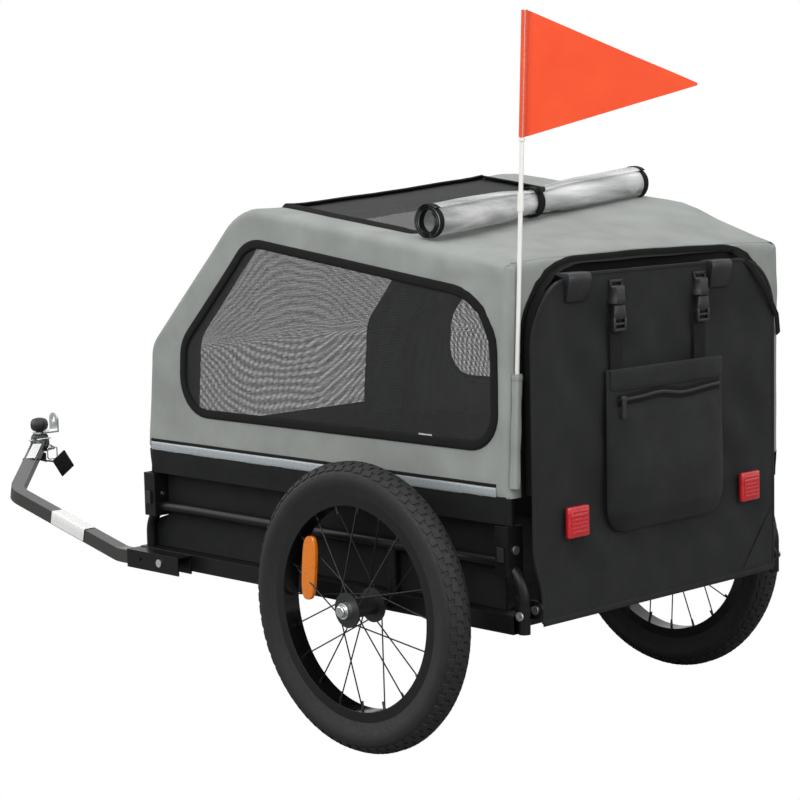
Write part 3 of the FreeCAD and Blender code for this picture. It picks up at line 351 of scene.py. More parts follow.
def spoke_lens(side):
    low, high = limits(side + "_spoke_reflector")
    middle = (low + high) / 2
    half = (high - low) / 2
    corners = []
    for angle in circle(40):
        across = math.copysign(abs(math.cos(angle)) ** 0.7, math.cos(angle)) * half.y * 0.96
        up = math.copysign(abs(math.sin(angle)) ** 0.55, math.sin(angle)) * half.z
        corners.append((across + LENS_LEAN * up, up))
    bm = bmesh.new()
    outlines = []
    for depth, shrink in ((-1.0, 0.9), (-0.72, 1.0), (0.55, 1.0), (0.9, 0.9), (1.0, 0.55)):
        x = middle.x + depth * half.x
        tall = min(1, shrink + 0.08)
        outlines.append([at(x, middle.y + y * shrink, middle.z + z * tall) for y, z in corners])
    loft(bm, outlines)
    piece(side + "_amber_reflector", bm, AMBER, side + "_wheel", side + "_spoke_reflector", crease=30)


for side in SIDES:
    spoke_lens(side)

# Spoke nipples: short plated sleeves where the spokes enter the rims.
# Brass under black nickel; each is a small turned cone placed from the wheel's own size.
NIPPLES = 20
NIPPLE_R = 2.1
NIPPLE_LENGTH = 11.0
RIM_DEPTH = 17.5
BLACK_NICKEL = bare_metal("black_nickel", "#39393b", "#58585b", 0.25, 0.3)


def nipples(side):
    low, high = limits(side + "_rim")
    middle = at((low.x + high.x) / 2, 0, (low.z + high.z) / 2)
    reach = (high.z - low.z) / 2 - RIM_DEPTH - NIPPLE_LENGTH / 2
    bm = bmesh.new()
    for angle in circle(NIPPLES):
        turn = Matrix.Rotation(math.pi / 2 - angle, 4, "X")
        place = Matrix.Translation(middle) @ turn @ Matrix.Translation((0, 0, reach * MM))
        bmesh.ops.create_cone(bm, segments=12, radius1=NIPPLE_R * 0.75 * MM, radius2=NIPPLE_R * MM,
                              depth=NIPPLE_LENGTH * MM, cap_ends=True, matrix=place)
    piece(side + "_nipples", bm, BLACK_NICKEL, side + "_wheel", crease=40)


for side in SIDES:
    nipples(side)

# Cloth tub: the black lower body of the cabin, inside the guard loops and on the floor board.
# Coated woven polyester; one wall round the plan, slack in places, flaring out under the side hems.
TUB_LOW = 213.0
TUB_TOP = 374.0
FLARE = 14.0
TUB_BEND = 4.0
TUB_TOE = 36.0
GAP_FRONT = -495.0
GAP_REAR = -452.0
GAP_LOW = 308.0
TUB_T = 1.4


def ease(value, start, end):
    """Smooth step from 0 at start to 1 at end."""
    t = min(1.0, max(0.0, (value - start) / (end - start)))
    return t * t * (3 - 2 * t)


def ripple(x, y, z, size, depth):
    """Smooth random swing of a cloth, in millimetres."""
    return depth * noise.noise(Vector((x, y, z)) / size)


def weave(tree, pitch):
    """Heights of two sets of threads that read the same on level, side and end faces."""
    split = add(tree, "ShaderNodeSeparateXYZ", {"Vector": own_place(tree)}).outputs
    rate = 2 * math.pi / (pitch * MM)
    lines = [maths(tree, "ADD", split[a], split[b]) for a, b in ("XY", "YZ")]
    return [maths(tree, "SINE", maths(tree, "MULTIPLY", line, rate)) for line in lines]


def cloth(name, dark, light, pitch, rough, sheen):
    material, tree, shader = surface(name)
    creases = grain(tree, 38.0, 4.0)
    fine = bump(tree, maths(tree, "MULTIPLY", *weave(tree, pitch)), 0.12, 0.5)
    feed(tree, shader, Base_Color=between(tree, spread(tree, grain(tree, 70.0, 5.0), 0.0, 1.0), dark, light),
         Roughness=spread(tree, grain(tree, 30.0), rough, rough + 0.12), Specular_IOR_Level=0.24,
         Sheen_Weight=sheen, Normal=bump(tree, creases, 2.2, 0.35, fine))
    return material


BLACK_CLOTH = cloth("black_polyester", "#141516", "#1c1d1e", 0.9, 0.64, 0.05)
# The same black cloth as the door's, made darker and without sheen: painted shade on the low tub and on the
# skirt under the hems.
SHADED_TUB_CLOTH = cloth("tub_polyester_painted_shade", "#0b0c0d", "#131415", 0.9, 0.64, 0.0)
GREY_CLOTH = cloth("grey_polyester", "#8b8f8b", "#9da19d", 0.8, 0.6, 0.1)
# Inner skin of the grey walls and cover: the grey cloth darkened, as painted shade inside the cabin.
PAINTED_SHADE_INSIDE = cloth("inside_painted_shade", "#343537", "#424345", 0.9, 0.7, 0.05)
FLOOR_CLOTH = cloth("floor_cloth", "#141415", "#1c1c1d", 1.6, 0.75, 0.0)
dress(FLOOR_CLOTH, "floor_panel")


def rounded(corners, radii, arc=8, run=16):
    """Closed outline with rounded corners: equal counts on every bend and on every run."""
    bends = []
    for i, corner in enumerate(corners):
        here = Vector(corner)
        before = (Vector(corners[i - 1]) - here).normalized()
        after = (Vector(corners[(i + 1) % len(corners)]) - here).normalized()
        half = before.angle(after) / 2
        centre = here + (before + after).normalized() * radii[i] / math.sin(half)
        start = here + before * radii[i] / math.tan(half) - centre
        end = here + after * radii[i] / math.tan(half) - centre
        bends.append([centre + start.slerp(end, k / arc) * radii[i] for k in range(arc + 1)])
    outline = []
    for i, bend in enumerate(bends):
        following = bends[(i + 1) % len(bends)][0]
        outline += bend + [bend[-1].lerp(following, k / run) for k in range(1, run)]
    return outline


def thicken(bm, depth, inside, inner_material=0):
    """Gives an open sheet a second skin on the side of a point, and closes its edges."""
    bmesh.ops.delete(bm, geom=[v for v in bm.verts if not v.link_faces], context="VERTS")
    bmesh.ops.recalc_face_normals(bm, faces=bm.faces)
    facing = sum(f.normal.dot(f.calc_center_median() - inside) * f.calc_area() for f in bm.faces)
    if facing < 0:
        bmesh.ops.reverse_faces(bm, faces=bm.faces)
    bm.normal_update()
    faces = bm.faces[:]
    borders = [edge for edge in bm.edges if edge.is_boundary]
    twin = {vert: bm.verts.new(vert.co - vert.normal * depth * MM) for vert in bm.verts[:]}
    for edge in borders:
        first, second = edge.verts
        bm.faces.new((first, second, twin[second], twin[first]))
    for face in faces:
        bm.faces.new([twin[vert] for vert in reversed(face.verts)]).material_index = inner_material


def tub_point(x, y, z):
    """Place of a point of the tub: flared at its top, slack between, drawn forwards at its front foot."""
    amount = ease(z, 338, 364) * ease(y, -490, -440) * ease(y, 190, 160) * ease(abs(x), 240, 255)
    corner = max(ease(y, -495, -430), ease(abs(x), 250, 190))
    slack = math.sin(math.pi * (z - TUB_LOW) / (TUB_TOP - TUB_LOW)) * (1 - amount) * corner
    inward = slack * (2.5 + ripple(x, y, z, 70, 2.5))
    toe = TUB_TOE * ease(z, 262, 250) * ease(y, -460, -505)
    return at(x * (1 - inward / 260) + math.copysign(FLARE * amount, x), y * (1 - inward / 500) - toe, z)


def tub(side, sign):
    """One half of the tub: half the front and one side."""
    low, high = limits("lower_tub")
    span = TUB_BEND * 2
    bend = rounded([(0, 0), (span, 0), (span, span), (0, span)], [TUB_BEND] * 4, 6, 1)[7:14]
    plan = [(high.x * k / 12 * 0.88, low.y) for k in range(12)]
    plan += [(high.x - span + p.x, low.y + p.y) for p in bend]
    plan += [(high.x, y) for y in steps(low.y + TUB_BEND, high.y, 40)[1:]]
    heights = steps(TUB_LOW, TUB_TOP, 16)

    def torn(r, c):
        x, y = plan[r]
        return sign < 0 and x > 240 and GAP_FRONT < y < GAP_REAR and heights[c] > GAP_LOW

    bm = bmesh.new()
    grid(bm, [[tub_point(sign * x, y, z) for z in heights] for x, y in plan], False, torn)
    thicken(bm, TUB_T, at(0, -140, 290))
    made = piece(side + "_cloth_tub", bm, SHADED_TUB_CLOTH, "chassis", "lower_tub", crease=60)
    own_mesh(made)


for side, sign in SIDES.items():
    tub(side, sign)

# Side walls: grey cloth with a see-through mesh window, black binding and a silver strip along the hem.
# Coated polyester, open knit mesh, webbing; a ring of cloth between the cut edge and the window's edge.
PANEL_X = limits("left_side_panel")[1].x
REAR_Y = 230.0
HEM_Z = 365.0
SIDE_CORNERS = ((-524.6, HEM_Z), (-510.3, 524.8), (-295.8, 738.3), (REAR_Y, 670.2), (REAR_Y, HEM_Z))
SIDE_BENDS = (3.0, 46.0, 100.0, 1.5, 1.5)
WINDOW_INSETS = (82.0, 52.5, 48.0, 23.0, 65.0)
WINDOW_BENDS = (52.0, 50.0, 60.0, 80.0, 45.0)
SHOULDER_R = 12.0
REAR_SHOULDER_R = 13.0
LIP_Y = 241.5
LIP = ((2, 0), (4, 0.5), (5, 1))
FLAP = ((0, -1.5), (12, -1), (32, -3))
OPENING_HALF = 252.0
OPENING_TOP = 661.0
OPENING_BEND = 100.0
RIGHT_LIFT = 34.0
LIFT_START = 225.0
LIFT_SPAN = 470.0
LIFT_CURVE = 1.25
RIGHT_REACH = 16.0
SIDE_FACE = 268.0
ROOF_COS = 0.99
CLOTH_T = 1.2
WELD = 0.3 * MM
REARWARDS = Vector((0, 1, 0))
SKIRT_LOW = 330.0
SKIRT_RUN = (-523, 227, 62)
HEM_FRONT = -512
HEM_STEP = 12
BAND_ROWS = (0.0, 0.04, 0.09, 0.15, 0.22, 0.32, 0.46, 0.62, 0.8, 1.0)
POINTS_PER_CORNER = 24


def inset(corners, amounts):
    """Corners of an outline whose edges are moved inwards, one amount for each edge after a corner."""
    lines = []
    for i, corner in enumerate(corners):
        start = Vector(corner)
        along = (Vector(corners[(i + 1) % len(corners)]) - start).normalized()
        lines.append((start + Vector((along.y, -along.x)) * amounts[i], along))
    moved = []
    for i, (start, along) in enumerate(lines):
        before, back = lines[i - 1]
        t = (start - before).cross(along) / back.cross(along)
        moved.append(before + back * t)
    return moved


def roof_line(y):
    """Height of the sides' upper edge between crown and rear."""
    (y0, z0), (y1, z1) = SIDE_CORNERS[2], SIDE_CORNERS[3]
    return z0 + (z1 - z0) * (y - y0) / (y1 - y0)


def shoulder(y, x=280.0):
    """Radius of the cover's rounded edges, larger towards the rear corners."""
    return SHOULDER_R + (REAR_SHOULDER_R - SHOULDER_R) * ease(y, 40, 205) * ease(abs(x), 150, 250)


def soften(depths, radius):
    """Distances from up to three sharp faces after the edge between them is rounded."""
    q = [max(0.0, 1 - d / radius) for d in depths]
    size = math.sqrt(sum(v * v for v in q))
    if size <= 1:
        return depths
    return [radius * (1 - v / size) if v else d for v, d in zip(q, depths)]


def settle(x, y, z):
    """The cover as it hangs: its right shoulder stands higher, its roof sags and its seams gather."""
    top = ease(z, 520, 700)
    across = min(1.0, max(0.0, (LIFT_START - x) / LIFT_SPAN))
    lift = RIGHT_LIFT * across ** LIFT_CURVE * ease(y, 215, 70) * top
    crown = 7.0 * (1 - min(1.0, abs(x) / 270) ** 2) * ease(y, 60, 225) * ease(z, 620, 655)
    spot = Vector((abs(x) - SIDE_FACE, y - 214, z - 652))
    near = math.exp(-(spot.length / 95) ** 2) * ease(spot.length, 12, 60)
    gather = 2.0 * near * (1 + math.sin(13 * math.atan2(spot.z, spot.y)))
    wave = ripple(x, y, z, 120, 1.6) + ripple(x, y, z, 46, 0.8) + 1.2
    reach = RIGHT_REACH * ease(-x, 0, 250) * ease(y, 90, 215)
    if abs(x) > SIDE_FACE:
        return at(x + math.copysign(1, x) * (gather + wave * 0.8), y + reach, z + lift + crown)
    return at(x, y + reach, z + lift + crown + (gather + wave) * ease(z, 560, 640))


def panel_point(sign, start, goal, point, block, rear):
    """Place of a point of a side wall, given the cut edge's point and the window's point on its line."""
    y, z = point
    if rear:
        a, b, c = soften([0.0, max(0.0, (roof_line(y) - z)) * ROOF_COS, REAR_Y - y], shoulder(y))
        y = REAR_Y - c
        z = min(z, roof_line(y) - b / ROOF_COS)
    else:
        away = (goal - start).normalized()
        reach = (point - start).length
        a, e = soften([0.0, reach], SHOULDER_R) if block < 3 else (0.0, reach)
        y, z = start + away * e
    return settle(sign * (PANEL_X - a), y, z)


def away_from(centre, path):
    """Directions from a centre to the points of a path."""
    return [(point - centre).normalized() for point in path]


def tape(bm, path, facing, width, thick, index, closed=False):
    """Flat band with softened edges along a path; it faces one way, or a way for each point."""
    section = ((-0.5, -0.5), (-0.5, 0.1), (-0.42, 0.42), (-0.2, 0.5),
               (0.2, 0.5), (0.42, 0.42), (0.5, 0.1), (0.5, -0.5))
    count = len(path)
    normals = [facing] * count if isinstance(facing, Vector) else facing
    rings = []
    for i, point in enumerate(path):
        ahead = path[(i + 1) % count] if closed or i + 1 < count else point
        behind = path[i - 1] if closed or i else point
        along = (ahead - behind).normalized()
        side = along.cross(normals[i]).normalized()
        out = side.cross(along)
        rings.append([point + (side * s * width + out * t * thick) * MM for s, t in section])
    loft(bm, rings, not closed, closed, index)


def webbing(name, dark, light, rib):
    """Ribbed tape or strap."""
    material, tree, shader = surface(name)
    feed(tree, shader, Base_Color=between(tree, grain(tree, 14.0), dark, light), Roughness=0.72,
         Specular_IOR_Level=0.16, Normal=bump(tree, weave(tree, rib)[1], 0.3, 0.6))
    return material


def silver_strip():
    material, tree, shader = surface("silver_strip")
    cells = add(tree, "ShaderNodeTexVoronoi", {"Vector": own_place(tree), "Scale": 1 / (1.6 * MM)})
    depth = cells.outputs["Distance"]
    feed(tree, shader, Base_Color=between(tree, depth, "#c3cacd", "#98a0a4"), Metallic=0.35, Roughness=0.34,
         Normal=bump(tree, depth, 0.1, 0.4))
    return material


def open_mesh(name, code, pitch, thread):
    """Knit mesh: threads on a small pitch with clear holes between them, which close when seen aslant."""
    material, tree, shader = surface(name)
    facing = add(tree, "ShaderNodeLayerWeight", {"Blend": 0.5}).outputs["Facing"]
    slant = maths(tree, "POWER", facing, 3.0)
    limit = maths(tree, "MULTIPLY_ADD", slant, -0.6, math.cos(math.pi * thread))
    solid = maths(tree, "GREATER_THAN", maths(tree, "MAXIMUM", *weave(tree, pitch)), limit)
    feed(tree, shader, Base_Color=between(tree, grain(tree, 40.0), code, "#2b2c2e"), Roughness=0.7,
         Alpha=solid)
    return material


BINDING = webbing("black_binding", "#0f0f10", "#161618", 1.4)
SILVER = silver_strip()
MESH = open_mesh("black_mesh", "#1d1e1f", 2.1, 0.36)
SIDE_EDGE = rounded(SIDE_CORNERS, SIDE_BENDS)
WINDOW_EDGE = rounded(inset(SIDE_CORNERS, WINDOW_INSETS), WINDOW_BENDS)


def rear_border():
    """Points of the rear rim from the left hem over the top to the right hem: cut edge and opening."""
    half, top, bend = OPENING_HALF, OPENING_TOP, OPENING_BEND
    roof = roof_line(REAR_Y)
    centre = Vector((half - bend, top - bend))
    corner = math.atan2(roof - centre.y, PANEL_X - centre.x)
    left = [((PANEL_X, z), (half, z)) for z in steps(HEM_Z, centre.y, 14)[:-1]]
    turn = []
    for k in range(17):
        angle = corner * k / 8 if k <= 8 else corner + (math.pi / 2 - corner) * (k - 8) / 8
        way = Vector((math.cos(angle), math.sin(angle)))
        reach = (PANEL_X - centre.x) / way.x if k <= 8 else (roof - centre.y) / way.y
        turn.append((tuple(centre + way * reach), tuple(centre + way * bend)))
    across = [((x, roof), (x, top)) for x in [centre.x * (1 - k / 10) for k in range(1, 10)]]
    return left + turn[:9], turn[8:] + across + [((0.0, roof), (0.0, top))]


def rim_point(x, z):
    """Place of a point of the rear rim, rounded into the roof and the sides."""
    a, b, c = soften([PANEL_X - abs(x), (roof_line(REAR_Y) - z) * ROOF_COS, 0.0], shoulder(REAR_Y, x))
    y = REAR_Y - c
    return settle(math.copysign(PANEL_X - a, x), y, min(z, roof_line(y) - b / ROOF_COS))


def rim(bm, border, sign):
    """Cloth of one run of the rear rim; gives the points of its inner edge."""
    rows = []
    shares = (0, 0.12, 0.25, 0.45, 0.7, 1)
    for (x0, z0), (x1, z1) in border:
        rows.append([rim_point(sign * (x0 + (x1 - x0) * t), z0 + (z1 - z0) * t) for t in shares])
    grid(bm, rows)
    return [row[-1] for row in rows]


RIM_SIDE, RIM_TOP = rear_border()


def rear_binding(bm, edge):
    """Black tape round the rear opening, with a flap behind it and a lip that reaches to the door's frame."""
    tape(bm, edge, REARWARDS, 11, 3.6, 0)
    centre = at(0, REAR_Y, 470)
    flap, lip = [], []
    for point in edge:
        inward = Vector((centre.x - point.x, 0, centre.z - point.z)).normalized() * MM
        depth = max(0.5 * MM, at(0, LIP_Y, 0).y - point.y)
        flap.append([point + inward * w + REARWARDS * y * MM for w, y in FLAP])
        lip.append([point + inward * w + REARWARDS * depth * share for w, share in LIP])
    grid(bm, flap)
    grid(bm, lip)


def skirt(bm, sign):
    """Black band of cloth below a side's hem, down to the corner brackets."""
    rows = []
    for y in steps(*SKIRT_RUN):
        row = []
        for z in (HEM_Z + 2, 357, 349, 341, SKIRT_LOW):
            tuck = 3.0 * ease(z, HEM_Z, SKIRT_LOW) + 4.0 * ease(abs(y + 148), 366, 375)
            row.append(settle(sign * (PANEL_X - tuck + ripple(0, y, z, 50, 1.0)), y, z))
        rows.append(row)
    for row in grid(bm, rows):
        for vert in row:
            for face in vert.link_faces:
                face.material_index = 2


def side_wall(side, sign):
    """One side: the grey wall round its window, its trim and the window's mesh."""
    body = side + "_arch"
    bm = bmesh.new()
    rows = []
    for i, (start, goal) in enumerate(zip(SIDE_EDGE, WINDOW_EDGE)):
        block, place = divmod(i, POINTS_PER_CORNER)
        rear = block >= 3 or (block == 2 and place > 8)
        rows.append([panel_point(sign, start, goal, start.lerp(goal, t), block, rear) for t in BAND_ROWS])
    grid(bm, rows, True)
    edge = rim(bm, RIM_SIDE, sign)
    bmesh.ops.remove_doubles(bm, verts=bm.verts, dist=WELD)
    # The inner skin takes the second material, the painted shade inside the cabin.
    thicken(bm, CLOTH_T, at(0, -140, 480), 1)
    wall = piece(side + "_wall", bm, [GREY_CLOTH, PAINTED_SHADE_INSIDE], body, side + "_side_panel", crease=60)
    trim = bmesh.new()
    outward = Vector((sign, 0, 0))
    window = [row[-1] + outward * 0.6 * MM for row in rows]
    tape(trim, window, outward, 13, 3.4, 0, True)
    rear_binding(trim, edge)
    hem = [settle(sign * (PANEL_X + 0.9), y, HEM_Z + 7) for y in range(HEM_FRONT, 218, HEM_STEP)]
    tape(trim, hem, outward, 12, 1.0, 1)
    piping = [settle(sign * (PANEL_X + 0.5), y, HEM_Z + 16) for y in range(HEM_FRONT, 220, HEM_STEP)]
    tape(trim, piping, outward, 4, 3, 0)
    # The skirt takes the third material, the tub's cloth darkened as painted shade.
    skirt(trim, sign)
    binding = piece(side + "_wall_binding", trim, [BINDING, SILVER, SHADED_TUB_CLOTH], body, crease=60)
    bm = bmesh.new()
    net = []
    centre = sum(WINDOW_EDGE, Vector((0, 0))) / len(WINDOW_EDGE)
    for goal in WINDOW_EDGE:
        row = []
        for t in (1.0, 0.9, 0.75, 0.6, 0.45, 0.3, 0.15, 0.03):
            y, z = centre.lerp(goal, t)
            row.append(settle(sign * (PANEL_X - 1.2), y, z))
        net.append(row)
    made = grid(bm, net, True)
    bm.faces.new([row[-1] for row in made])
    mesh = piece(side + "_window_net", bm, MESH, body, side + "_window_mesh")


for side, sign in SIDES.items():
    side_wall(side, sign)

# Roof and front: one grey sheet from the front hem over the knee and the crown to the rear rim.
# Coated polyester with two openings for mesh; a band over the side outline, bound in black.
FRONT_NET = (381.0, 698.0)
ROOF_NET = (-262.0, 2.0)
NET_REACH = {"front": (-188.0, 188.0), "roof": (-188.0, 225.0)}
NET_BINDING = {"front": 22.0, "roof": 16.0}
KNEE_Y = -330.0
TOUCH = 0.01
HOOD_STRAP = ((-168, 251, 662), (-190, 262, 641), (-221, 266, 604), (-252, 262, 566), (-272, 250, 538))
ACROSS = [0.0, 2.5, 5.5, 9.0, 13.0, 18.0, 24.0, 32.0, 42.0]
ACROSS += [PANEL_X - x for x in (225.0, 206.0, 188.0, 162.0, 136.0, 112.0, 90.0, 67.0, 45.0, 22.0, 0.0)]


def cover_line():
    """The side outline from the front hem to the rear edge, with a point at each edge of a mesh."""
    line = SIDE_EDGE[6:3 * POINTS_PER_CORNER + 5]
    for axis, value in [(1, z) for z in FRONT_NET] + [(0, y) for y in ROOF_NET]:
        for i, (start, end) in enumerate(zip(line, line[1:])):
            if (end.y > start.y) == (axis == 1) and (start[axis] - value) * (end[axis] - value) < 0:
                line.insert(i + 1, start.lerp(end, (value - start[axis]) / (end[axis] - start[axis])))
                break
    return line


COVER_LINE = cover_line()


def cover_point(i, x):
    """Place of a point of the band: which point of the line, and how far across."""
    point = COVER_LINE[i]
    ahead = COVER_LINE[min(i + 1, len(COVER_LINE) - 1)]
    behind = COVER_LINE[max(i - 1, 0)]
    along = (ahead - behind).normalized()
    inward = Vector((along.y, -along.x))
    y, z = point
    if y > -150:
        a, b, c = soften([PANEL_X - abs(x), 0.0, max(0.0, REAR_Y - y)], shoulder(y, x))
        y = REAR_Y - c
        z = roof_line(y) - b / ROOF_COS
    else:
        a, b = soften([PANEL_X - abs(x), 0.0], SHOULDER_R)
        y, z = point + inward * b
    return settle(math.copysign(PANEL_X - a, x), y, z)


def within(value, limit):
    return limit[0] - TOUCH <= value <= limit[1] + TOUCH


def in_net(point):
    """Which mesh a point of the line lies within, if any."""
    if point.x < KNEE_Y:
        return "front" if within(point.y, FRONT_NET) else ""
    return "roof" if within(point.x, ROOF_NET) else ""


def flatten(made):
    """Gives a piece its own copy of its mesh."""
    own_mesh(made)


def cover():
    """The sheet with its two openings, its bindings and both meshes."""
    columns = [PANEL_X - a for a in ACROSS] + [a - PANEL_X for a in ACROSS[-2::-1]]

    def opened(r, c):
        which = in_net(COVER_LINE[r])
        same = which and which == in_net(COVER_LINE[r + 1])
        return same and all(within(x, NET_REACH[which]) for x in columns[c:c + 2])

    bm = bmesh.new()
    grid(bm, [[cover_point(i, x) for x in columns] for i in range(len(COVER_LINE))], False, opened)
    edges = [rim(bm, RIM_TOP, 1), rim(bm, RIM_TOP, -1)]
    bmesh.ops.remove_doubles(bm, verts=bm.verts, dist=WELD)
    middle = at(0, -80, 480)
    # The inner skin takes the second material, the painted shade inside the cabin.
    thicken(bm, CLOTH_T, middle, 1)
    trim = bmesh.new()
    rear_binding(trim, edges[0] + edges[1][-2::-1])
    nets = {}
    for which in ("front", "roof"):
        inside = [i for i, p in enumerate(COVER_LINE) if in_net(p) == which]
        spans = [x for x in columns if within(x, NET_REACH[which])]
        loop = [(inside[0], x) for x in spans] + [(i, spans[-1]) for i in inside[1:]]
        loop += [(inside[-1], x) for x in spans[-2::-1]] + [(i, spans[0]) for i in inside[-2:0:-1]]
        path = [cover_point(i, x) for i, x in loop]
        tape(trim, path, away_from(middle, path), NET_BINDING[which], 3.2, 0, True)
        net = bmesh.new()
        grid(net, [[cover_point(i, x) + Vector((0, 0, -1.5 * MM)) for x in spans] for i in inside])
        nets[which] = piece(which + "_net", net, MESH, "chassis", which + "_mesh")
    sheet = piece("cover_sheet", bm, [GREY_CLOTH, PAINTED_SHADE_INSIDE], "chassis", "roof_cloth", "front_cloth", crease=60)
    binding = piece("cover_binding", trim, BINDING, "chassis", crease=60)
    for made in (sheet, binding, nets["front"], nets["roof"]):
        flatten(made)


cover()


def hood_strap():
    """Loose black strap that hangs from the right corner of the rear opening."""
    bm = bmesh.new()
    points = [Vector(p) for p in HOOD_STRAP]
    line = []
    for start, end in zip(points, points[1:]):
        line += [start.lerp(end, k / 6) for k in range(6)]
    line = [at(*p) for p in line + points[-1:]]
    tape(bm, line, Vector((0.2, 1, 0.1)), 9, 1.8, 0)
    flatten(piece("hood_strap", bm, BINDING, "chassis", crease=50))


hood_strap()

# Rain cover: a clear sheet rolled up across the roof, bound in black at both ends and tied in the middle.
# Soft vinyl; a spiral drawn along a slightly bent line, pinched at the tie, with bound ends.
ROLL_NEAR = (252.0, 62.0, 719.0)
ROLL_TIE = (0.0, 20.0, 735.0)
ROLL_FAR = (-252.0, 4.0, 754.0)
ROLL_R = 25.0
ROLL_FAR_R = 27.0
ROLL_WAIST = 0.76
ROLL_TURNS = 3
ROLL_STEPS = 44
SPIRAL_STEPS = 84
LAYER_GAP = 3.2


def streaks(tree, scale, detail=2.0):
    """Noise drawn out along one way."""
    place = add(tree, "ShaderNodeMapping", {"Vector": own_place(tree), "Scale": scale}).outputs["Vector"]
    return add(tree, "ShaderNodeTexNoise", {"Vector": place, "Scale": 1.0, "Detail": detail}).outputs["Fac"]


def vinyl():
    """Clear sheet with grey and white streaks along its creases, painted in as its highlights and
    reflections.
    """
    material, tree, shader = surface("clear_vinyl")
    streak = streaks(tree, (5.0, 48.0, 48.0), 5.0)
    tone = spread(tree, streak, 0.0, 1.0)
    # The grey to white streaks of the base colour are painted highlights and painted reflections.
    feed(tree, shader, Base_Color=between(tree, tone, "#7e8588", "#ffffff"), Roughness=0.07, IOR=1.45,
         Alpha=spread(tree, streak, 0.5, 0.75), Specular_IOR_Level=0.8, Coat_Weight=1.0, Coat_Roughness=0.04,
         Normal=bump(tree, streak, 2.4, 0.5))
    return material


VINYL = vinyl()


def roll_centre(t):
    """Middle line of the roll, from 0 at the near end to 1 at the far end."""
    near, tie, far = Vector(ROLL_NEAR), Vector(ROLL_TIE), Vector(ROLL_FAR)
    through = tie * 2 - (near + far) / 2
    return near * (1 - t) ** 2 + through * 2 * t * (1 - t) + far * t ** 2


def roll_point(t, turn):
    """Point of the rolled sheet: t along the roll, turn in turns from the outer edge inwards."""
    size = ROLL_R + (ROLL_FAR_R - ROLL_R) * t
    pinch = 1 - (1 - ROLL_WAIST) * math.exp(-((t - 0.5) / 0.11) ** 2)
    radius = (size - LAYER_GAP * turn) * pinch
    angle = 2 * math.pi * turn + 0.9
    swing = 1 + 0.05 * noise.noise(Vector((t * 6, math.cos(angle) * 1.2, math.sin(angle) * 1.2)))
    x, y, z = roll_centre(t)
    return at(x, y + radius * swing * math.cos(angle), z + radius * swing * math.sin(angle) * 0.94)


def rain_cover():
    """The rolled sheet, and its bound ends and tie."""
    turns = steps(0, ROLL_TURNS, SPIRAL_STEPS)
    bm = bmesh.new()
    grid(bm, [[roll_point(t, turn) for turn in turns] for t in steps(0, 1, ROLL_STEPS)])
    sheet = piece("rain_cover", bm, VINYL, "chassis", "rain_roll")
    flatten(sheet)
    bm = bmesh.new()
    for t in (0.012, 0.988):
        path = [roll_point(t, turn) for turn in turns]
        tape(bm, path, away_from(at(*roll_centre(t)), path), 11, 1.8, 0)
    centre = at(*roll_centre(0.5))
    reach = (ROLL_R * ROLL_WAIST + 2.0) * MM
    loop = [centre + Vector((0, math.cos(angle), math.sin(angle))) * reach for angle in circle(28)]
    tape(bm, loop, away_from(centre, loop), 14, 2.0, 0, True)
    knot = Matrix.Translation(centre + Vector((0, 18, 18)) * MM) @ Matrix.Rotation(0.5, 4, "Z")
    brick(bm, (34, 7, 8), knot, 2.5, 3)
    flatten(piece("rain_cover_binding", bm, BINDING, "chassis", crease=50))


rain_cover()

# Rear door: black cloth on a drop-down frame with two tabs over its top tube and two red reflectors.
# Coated polyester with soft folds; a slack sheet inside its frame, looped straps and moulded lenses.
DOOR_HALF = 248.0
DOOR_LOW = 200.0
DOOR_TOP = 650.0
DOOR_BEND = 78.0
DOOR_SWELL = 16.0
DOOR_Y = 257.9
DOOR_ROWS = 64
DOOR_COLUMNS = 72
TAB_W = 44.0
TAB_FOOT = 258.4
TAB_BACK = 244.0
TAB_PROFILE = ((2.2, 615, 0.9), (4.2, 616.5, 0.96), (9.5, 640, 1.0),
               (10.5, 646, 1.0), (9.6, 651, 0.98), (7.0, 653.2, 0.94))
PATCH = ((4, 212), (74, 206), (4, 290))
LENS_RED = lens_plastic("red_lens", "#9c0a12", "#d6202a", 2.2)


def door_fold(x, z):
    """How far the slack of the door's cloth hangs in from its frame."""
    inside = ease(DOOR_HALF - abs(x), 14, 70) * ease(z, DOOR_LOW + 14, 280)
    inside *= ease(z, DOOR_TOP - 12, DOOR_TOP - 70)
    slack = 6.0 + 3.0 * math.sin((x * 0.8 + z) / 34 + ripple(x, 0, z, 90, 2.0))
    slack += ripple(x, 40, z, 60, 5.0) + 1.5 * math.sin((z - x * 1.3) / 21)
    return inside * slack * 0.7


def door_width(z, sign):
    """Half the door's width at a height: its cloth hangs wider on the left, between hinge and top."""
    wide = DOOR_HALF + (DOOR_SWELL * ease(z, 230, 300) if sign > 0 else 0.0)
    bend = DOOR_BEND + (DOOR_SWELL if sign > 0 else 0.0)
    rise = z - (DOOR_TOP - bend)
    return wide if rise <= 0 else wide - bend + math.sqrt(max(0.0, bend ** 2 - rise ** 2))


def door_sheet():
    """The door's cloth with a rolled edge and a sewn patch at its lower right corner."""
    rows = []
    for z in steps(DOOR_LOW, DOOR_TOP, DOOR_ROWS):
        xs = [door_width(z, across) * across for across in steps(-1, 1, DOOR_COLUMNS)]
        rows.append([at(x, DOOR_Y - door_fold(x, z), z) for x in xs])
    bm = bmesh.new()
    grid(bm, rows)
    thicken(bm, CLOTH_T, at(0, 0, 420))
    edge = [row[0] for row in rows] + rows[-1][1:-1] + [row[-1] for row in rows[::-1]]
    tape(bm, edge, REARWARDS, 5, 2.0, 0)
    tape(bm, rows[0], REARWARDS, 8, 2.0, 0)
    bm.faces.new([bm.verts.new(at(x - DOOR_HALF, DOOR_Y + 0.9, z)) for x, z in PATCH])
    panel = piece("door_cloth", bm, BLACK_CLOTH, "rear_door", "door_panel", crease=60)


